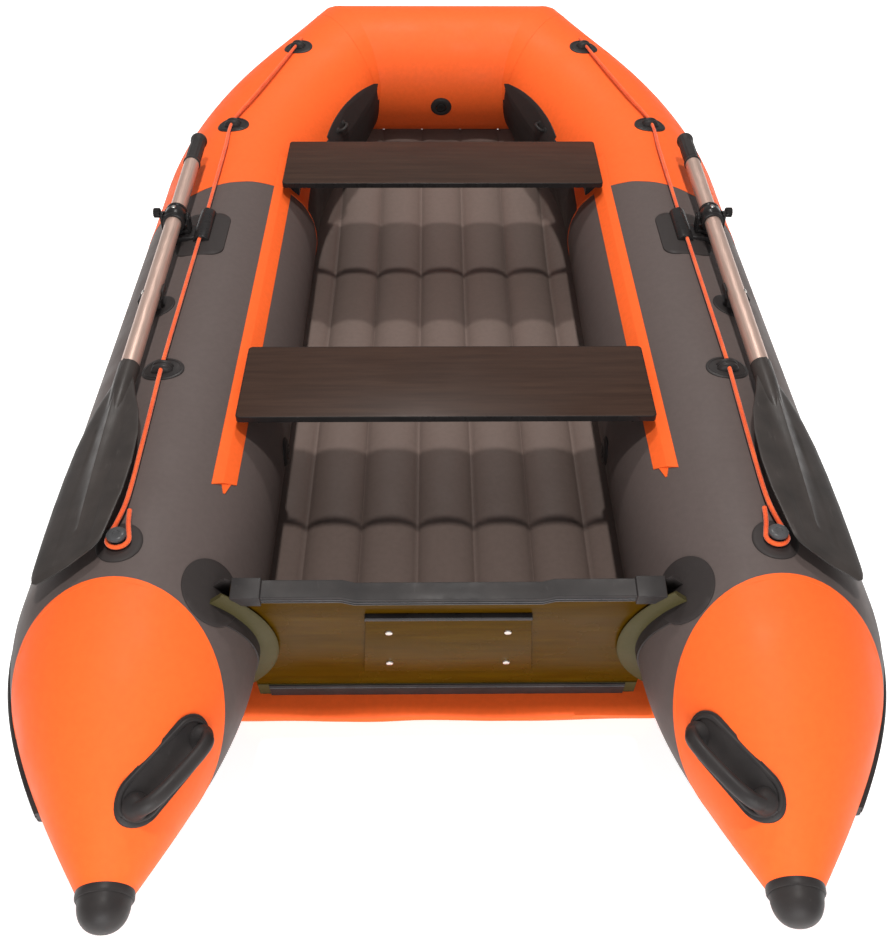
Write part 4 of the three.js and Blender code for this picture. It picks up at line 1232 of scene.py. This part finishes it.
def rope_line():
    """The rope's centre line: through the holders, round the tail anchor and back beside itself."""
    x, y = ANCHOR.x, ANCHOR.y
    turn = [(x + EYE_RADIUS * math.cos(math.radians(a)), y + EYE_RADIUS * math.sin(math.radians(a)), EYE_Z)
            for a in range(20, -201, -20)]
    back = [(0.5215, -0.785, EYE_Z), (0.5255, -0.755, EYE_Z)]
    return smooth_path(ROPE_ROUTE + [(0.539, -0.772, EYE_Z)] + turn + back, 0.0025)


def braid(share, line_length):
    """The section at a share of the rope's length: strands that cross as diamonds."""
    lay = 2 * math.pi * share * line_length / 0.016
    section = []
    for i in range(20):
        angle = 2 * math.pi * i / 20
        weave = abs(math.sin(4 * angle + lay)) + abs(math.sin(4 * angle - lay))
        radius = ROPE_DIAMETER / 2 * (0.94 + 0.045 * weave)
        section.append((radius * math.cos(angle), radius * math.sin(angle)))
    return section


def build_ropes():
    line = rope_line()
    length = float(np.linalg.norm(np.diff(line, axis=0), axis=1).sum())
    shape = Shape().swept(line, lambda share: braid(share, length))
    for side, mirror in (("starboard", False), ("port", True)):
        node = f"{side}_grab_rope"
        rope = piece(f"{node}.fine", "hull", ROPE, shape, [node], mirror, smooth_angle=60)


# ------------------------------------------------------------------ rowlocks and oars


def along_oar():
    """The oar's own frame: Z along the shaft to the grip, X to starboard."""
    return Matrix.Translation(OAR) @ Matrix.Rotation(OAR_SLOPE - math.pi / 2, 4, "X")


def across_oar():
    return Matrix.Translation(OAR) @ Matrix.Rotation(math.pi / 2, 4, "Y")


def screw_frame():
    spot = OAR + Vector((0, SCREW_Y, 0.001))
    return Matrix.Translation(spot) @ Matrix.Rotation(math.pi / 2, 4, "Y")


def section_matrix(y):
    """Local X across, local Y up, local Z forward from this y."""
    basis = Matrix(((1, 0, 0), (0, 0, -1), (0, 1, 0))).to_4x4()
    return Matrix.Translation((0, y, 0)) @ basis


def oar_rest():
    """A clip beside the shaft on a round pad."""
    matrix = tube_frame((OAR.x, REST_Y, CROWN_Z))
    shape = patch(matrix, ellipse(0.036, 0.036), 0.0025)
    centre = (OAR.x, OAR.z + (REST_Y - OAR.y) * math.tan(OAR_SLOPE))
    outer = arc(centre, SHAFT_RADIUS + 0.006, 167, 283, 22)
    inner = arc(centre, SHAFT_RADIUS + 0.0009, 283, 167, 22)
    shape.prism(outer + inner, -0.014, 0.014, section_matrix(REST_Y))
    lip = centre[1] - SHAFT_RADIUS - 0.001
    left, right = OAR.x - 0.012, OAR.x + 0.034
    foot = [(left, CROWN_Z - 0.012), (right, CROWN_Z - 0.012), (right, lip - 0.003), (right - 0.003, lip),
            (OAR.x, lip), (left, lip - 0.002)]
    shape.prism(foot, -0.011, 0.011, section_matrix(REST_Y))
    return shape


def rowlock_base():
    matrix = tube_frame((0.540, 0.118, CROWN_Z))
    return patch(matrix, rounded_rectangle(0.112, 0.172, 0.030), 0.003, 8)


def rowlock_block():
    """The moulded block that the rope runs through, and the shelf under the swivel."""
    shape = Shape()
    inner, outer, foot, shoulder, top = 0.521, 0.557, CROWN_Z - 0.010, 0.464, 0.4755
    over = bent_line((outer, shoulder), (outer - 0.003, top), ((inner + outer) / 2, top), 8)
    over += bent_line(((inner + outer) / 2, top), (inner + 0.003, top), (inner, shoulder), 8)
    outline = [(inner, foot), (outer, foot)] + over + [(inner, shoulder)]
    shape.prism(outline, -0.060, 0.060, section_matrix(0.144))
    shelf = [(x + OAR.x - 0.012, y + OAR.y) for x, y in rounded_rectangle(0.072, 0.056, 0.018)]
    shape.prism(shelf, CROWN_Z - 0.020, 0.466, Matrix.Identity(4))
    return shape


def rope_mouth():
    """Rings where the rope enters and leaves the block."""
    shape = Shape()
    for y in (0.0838, 0.2042):
        path = [(0.541 + 0.0065 * math.cos(a), y, 0.4680 + 0.0065 * math.sin(a))
                for a in np.linspace(0, 2 * math.pi, 25)]
        shape.swept(path, lambda share: circle(0.0016, 8))
    return shape


def rowlock_swivel():
    shape = Shape()
    at = Matrix.Translation((OAR.x, OAR.y, 0))
    shape.turned([(0.0188, 0.4664), (0.0190, 0.470), (0.0182, 0.4738), (0.010, 0.474)], at, 40)
    floor = [(x + OAR.x, y + OAR.y) for x, y in rounded_rectangle(0.063, 0.024, 0.004)]
    shape.prism(floor, 0.4666, 0.4739, Matrix.Identity(4))
    for side in (-1, 1):
        low, high = sorted((side * 0.0255, side * 0.0315))
        cheek = [(-0.012, -0.030), (0.012, -0.030)] + arc((0, 0), 0.012, 0, 180, 18)
        basis = Matrix(((0, 0, 1), (1, 0, 0), (0, 1, 0))).to_4x4()
        shape.prism(cheek, low, high, Matrix.Translation(OAR) @ basis)
    return shape


def oar_collar():
    matrix = along_oar()
    profile = [(0.0178, -0.025), (0.0215, -0.025), (0.0236, -0.0235), (0.0240, -0.018), (0.0228, -0.0165),
               (0.0228, -0.0135), (0.0240, -0.012), (0.0240, 0.012), (0.0228, 0.0135), (0.0228, 0.0165),
               (0.0240, 0.018), (0.0236, 0.0235), (0.0215, 0.025), (0.0178, 0.025), (0.0178, -0.025)]
    rows = []
    for radius, height in profile:
        rows.append([matrix @ Vector((radius * math.cos(a), radius * math.sin(a), height))
                     for a in np.linspace(0, 2 * math.pi, 49)[:-1]])
    shape = Shape().grid(rows, caps=(False, False))
    for low, high in ((-0.033, -0.022), (0.022, 0.033)):
        shape.turned([(0.0056, low), (0.0056, high)], across_oar(), 28)
    shape.turned([(0.0080, 0.015), (0.0080, 0.0240), (0.0070, 0.0250), (0.0045, 0.0252)], screw_frame(), 28)
    return shape


def collar_screw():
    top = Matrix.Translation(OAR + Vector((0, 0.004, 0)))
    profile = [(0.0046, 0.0225), (0.0046, 0.0250), (0.0036, 0.0264), (0.0010, 0.0266)]
    return Shape().turned(profile, top, 20)


def thumbscrew():
    matrix = screw_frame()
    profile = [(0.0095, 0.036), (0.0108, 0.0372), (0.0110, 0.0440), (0.0108, 0.0498), (0.0094, 0.0508),
               (0.0050, 0.0508), (0.0046, 0.0500), (0.0002, 0.0498)]
    shape = Shape().turned(profile, matrix, 64, knurled(10, 0.0012))
    return shape.turned([(0.0038, 0.019), (0.0038, 0.0362)], matrix, 20)


def oar_shaft():
    profile = [(SHAFT_RADIUS - 0.001, SHAFT_AFT), (SHAFT_RADIUS, SHAFT_AFT + 0.0005)]
    profile += [(SHAFT_RADIUS, h) for h in np.linspace(SHAFT_AFT + 0.02, SHAFT_FORE - 0.02, 12)]
    profile += [(SHAFT_RADIUS, SHAFT_FORE - 0.0005), (SHAFT_RADIUS - 0.001, SHAFT_FORE)]
    return Shape().turned(profile, along_oar(), 48)


def spring_button():
    turn = Matrix.Rotation(math.radians(-35), 4, "Z") @ Matrix.Rotation(math.pi / 2, 4, "Y")
    matrix = along_oar() @ Matrix.Translation((0, 0, REST_Y - OAR.y - 0.024)) @ turn
    profile = [(0.0048, 0.0165), (0.0048, 0.0182), (0.0036, 0.0196), (0.0002, 0.0200)]
    return Shape().turned(profile, matrix, 20)


def oar_grip():
    """A ribbed grip: a thick lip, a waisted body with lengthwise flutes, and a rounded end."""
    start = SHAFT_FORE + 0.0003
    end = start + GRIP_LENGTH
    profile = [(0.0176, start), (0.0196, start + 0.0008), (0.0200, start + 0.003), (0.0196, start + 0.0065),
               (0.0178, start + 0.010)]
    profile += [(0.0176 + 0.0006 * math.sin(math.pi * i / 16), start + 0.012 + 0.082 * i / 16)
                for i in range(17)]
    profile += [(0.0196, end - 0.014), (0.0200, end - 0.008), (0.0192, end - 0.004), (0.0165, end - 0.0012),
                (0.0110, end - 0.0002), (0.0002, end)]

    def flute(angle, height):
        body = start + 0.011 < height < end - 0.020
        return -0.0009 * (0.5 + 0.5 * math.cos(14 * angle)) if body else 0.0

    return Shape().turned(profile, along_oar(), 112, flute)


def blade_edges(y):
    """The blade's outer and inner edges, either side of its spine, at a distance from its neck."""
    at = [0, 0.040, 0.090, 0.140, 0.200, 0.270, 0.340, 0.400, 0.450, 0.480, 0.512]
    left = [0.0160, 0.0190, 0.0320, 0.0500, 0.0605, 0.0640, 0.0615, 0.0540, 0.0470, 0.0420, 0.0380]
    right = [0.0160, 0.0230, 0.0420, 0.0550, 0.0650, 0.0700, 0.0715, 0.0705, 0.0685, 0.0670, 0.0640]
    return float(np.interp(y, at, left)), float(np.interp(y, at, right))


def blade_end(v):
    """How far the blade reaches at a share across it, from -1 at its inboard edge to 1."""
    return float(np.interp(v, [-1, -0.92, -0.75, -0.3, 0.3, 0.78, 0.93, 1],
                           [0.440, 0.452, 0.462, 0.477, 0.496, 0.510, 0.507, 0.492]))


def oar_blade():
    """A blade with a tapering spine, two grooves each side of it and a soft edge."""
    matrix = along_oar() @ Matrix.Rotation(BLADE_ROLL, 4, "Z")
    start = SHAFT_AFT - 0.0003
    across = np.array([-1, -0.985, -0.94, -0.8, -0.66, -0.55, -0.5, -0.45, -0.4, -0.3, -0.2, -0.12, -0.06, 0,
                       0.06, 0.12, 0.2, 0.3, 0.4, 0.45, 0.5, 0.55, 0.66, 0.8, 0.94, 0.985, 1])
    rows = []
    for t in np.linspace(0, 1, 90):
        top, bottom = [], []
        for v in across:
            y = t * blade_end(v)
            left, right = blade_edges(y)
            x = v * (left if v < 0 else right)
            spine = max(0.0, 1 - y / 0.40)
            ridge = 0.0150 * spine ** 0.8 * math.exp(-((x / 0.0135) ** 2))
            if y < 0.42:
                ridge += 0.0022 * math.exp(-((x / 0.004) ** 2))
            groove = 0.0011 * math.exp(-(((abs(x) - 0.026) / 0.0022) ** 2)) * (1 if 0.17 < y < 0.45 else 0)
            edge = 1 - abs(v) ** 14
            round_end = min(1.0, (1 - t) * 40)
            height = 0.0035 * (0.25 + 0.75 * edge) * (0.3 + 0.7 * round_end) + ridge - groove
            dish = -0.004 * (x / 0.07) ** 2 * math.sin(math.pi * min(1, y / 0.5))
            top.append(matrix @ Vector((x, -(height + dish), start - y)))
            bottom.append(matrix @ Vector((x, height - dish, start - y)))
        rows.append(top + bottom[::-1])
    shape = Shape().grid(rows)
    profile = [(0.0178, start), (0.0195, start - 0.001), (0.0195, start - 0.055), (0.0185, start - 0.075),
               (0.0165, start - 0.110), (0.0090, start - 0.170)]
    return shape.turned(profile, along_oar(), 40)


def build_oars():
    both_sides("oar_rest", "hull", RUBBER, oar_rest(), "oar_rest", bevel=0.0008)
    both_sides("rowlock_base", "hull", DARK, rowlock_base(), "rowlock_base")
    both_sides("rowlock_block", "hull", PLASTIC, rowlock_block(), bevel=0.0025)
    both_sides("rope_mouth", "hull", PLASTIC, rope_mouth())
    both_sides("rowlock_swivel", "{}_yoke", PLASTIC, rowlock_swivel(), "rowlock_swivel", bevel=0.0010)
    both_sides("oar_collar", "{}_oar", PLASTIC, oar_collar(), "oar_collar")
    both_sides("collar_screw", "{}_oar", STEEL, collar_screw())
    both_sides("thumbscrew", "{}_clamp_screw", PLASTIC, thumbscrew(), "thumbscrew")
    both_sides("oar_shaft", "{}_oar", ALUMINIUM, oar_shaft(), "oar_shaft")
    both_sides("spring_button", "{}_oar", STEEL, spring_button())
    both_sides("oar_grip", "{}_oar", RUBBER, oar_grip(), "oar_grip", smooth_angle=50)
    both_sides("oar_blade", "{}_oar", BLADE, oar_blade(), "oar_blade", smooth_angle=35)


# ------------------------------------------------------------------ camera, light and floor


def build_camera():
    pitch, yaw, roll = math.radians(43.52), math.radians(0.93), math.radians(0.42)
    forward = Vector((math.sin(yaw) * math.cos(pitch), math.cos(yaw) * math.cos(pitch), -math.sin(pitch)))
    level = Vector((math.cos(yaw), -math.sin(yaw), 0))
    lifted = level.cross(forward)
    right = level * math.cos(roll) + lifted * math.sin(roll)
    up = lifted * math.cos(roll) - level * math.sin(roll)
    data = bpy.data.cameras.new("camera")
    data.lens = 41.54
    data.sensor_width = 36
    camera = bpy.data.objects.new("camera", data)
    rotation = Matrix((right, up, -forward)).transposed().to_4x4()
    camera.matrix_world = Matrix.Translation((-0.021, -2.005, 1.749)) @ rotation
    bpy.context.scene.collection.objects.link(camera)
    bpy.context.scene.camera = camera


def area_light(name, place, target, size, power, tint=(1, 1, 1)):
    data = bpy.data.lights.new(name, "AREA")
    data.shape = "DISK"
    data.size = size
    data.energy = power
    data.color = tint
    light = bpy.data.objects.new(name, data)
    light.location = place
    light.rotation_euler = (Vector(target) - Vector(place)).to_track_quat("-Z", "Y").to_euler()
    bpy.context.scene.collection.objects.link(light)


def build_light():
    area_light("lamp_aft", (0, -0.86, 4.7), (0, -0.86, 0), 0.26, 120, (1.0, 0.97, 0.94))
    area_light("lamp_fore", (0, 2.08, 4.7), (0, 1.2, 0), 0.26, 120, (1.0, 0.97, 0.94))
    area_light("low_front", (0, -4.0, 0.9), (0, -0.8, 0.2), 2.4, 110)
    world = bpy.data.worlds.new("studio")
    world.use_nodes = True
    background = world.node_tree.nodes["Background"]
    background.inputs["Color"].default_value = (0.97, 0.98, 1.0, 1)
    background.inputs["Strength"].default_value = 0.36
    bpy.context.scene.world = world
    bpy.context.scene.view_settings.view_transform = "Standard"


def build_floor():
    mesh = bpy.data.meshes.new("floor")
    reach = 14.0
    mesh.from_pydata([(-reach, -reach, -0.001), (reach, -reach, -0.001), (reach, reach, -0.001),
                      (-reach, reach, -0.001)], [], [(0, 1, 2, 3)])
    m = Material("floor_paint", 0.9)
    m.colour(m.ramp(m.noise(1.5, 3), [(0.3, 0.86), (0.7, 0.90)]))
    m.shader.inputs["Emission Color"].default_value = (1, 1, 1, 1)
    m.shader.inputs["Emission Strength"].default_value = 0.62
    mesh.materials.append(m.material)
    floor = bpy.data.objects.new("floor", mesh)
    bpy.context.scene.collection.objects.link(floor)


# ------------------------------------------------------------------ assembly

build_camera()
build_ropes()
build_tubes()
build_bottom()
build_transom()
build_benches()
build_fittings()
build_oars()
build_light()
build_floor()
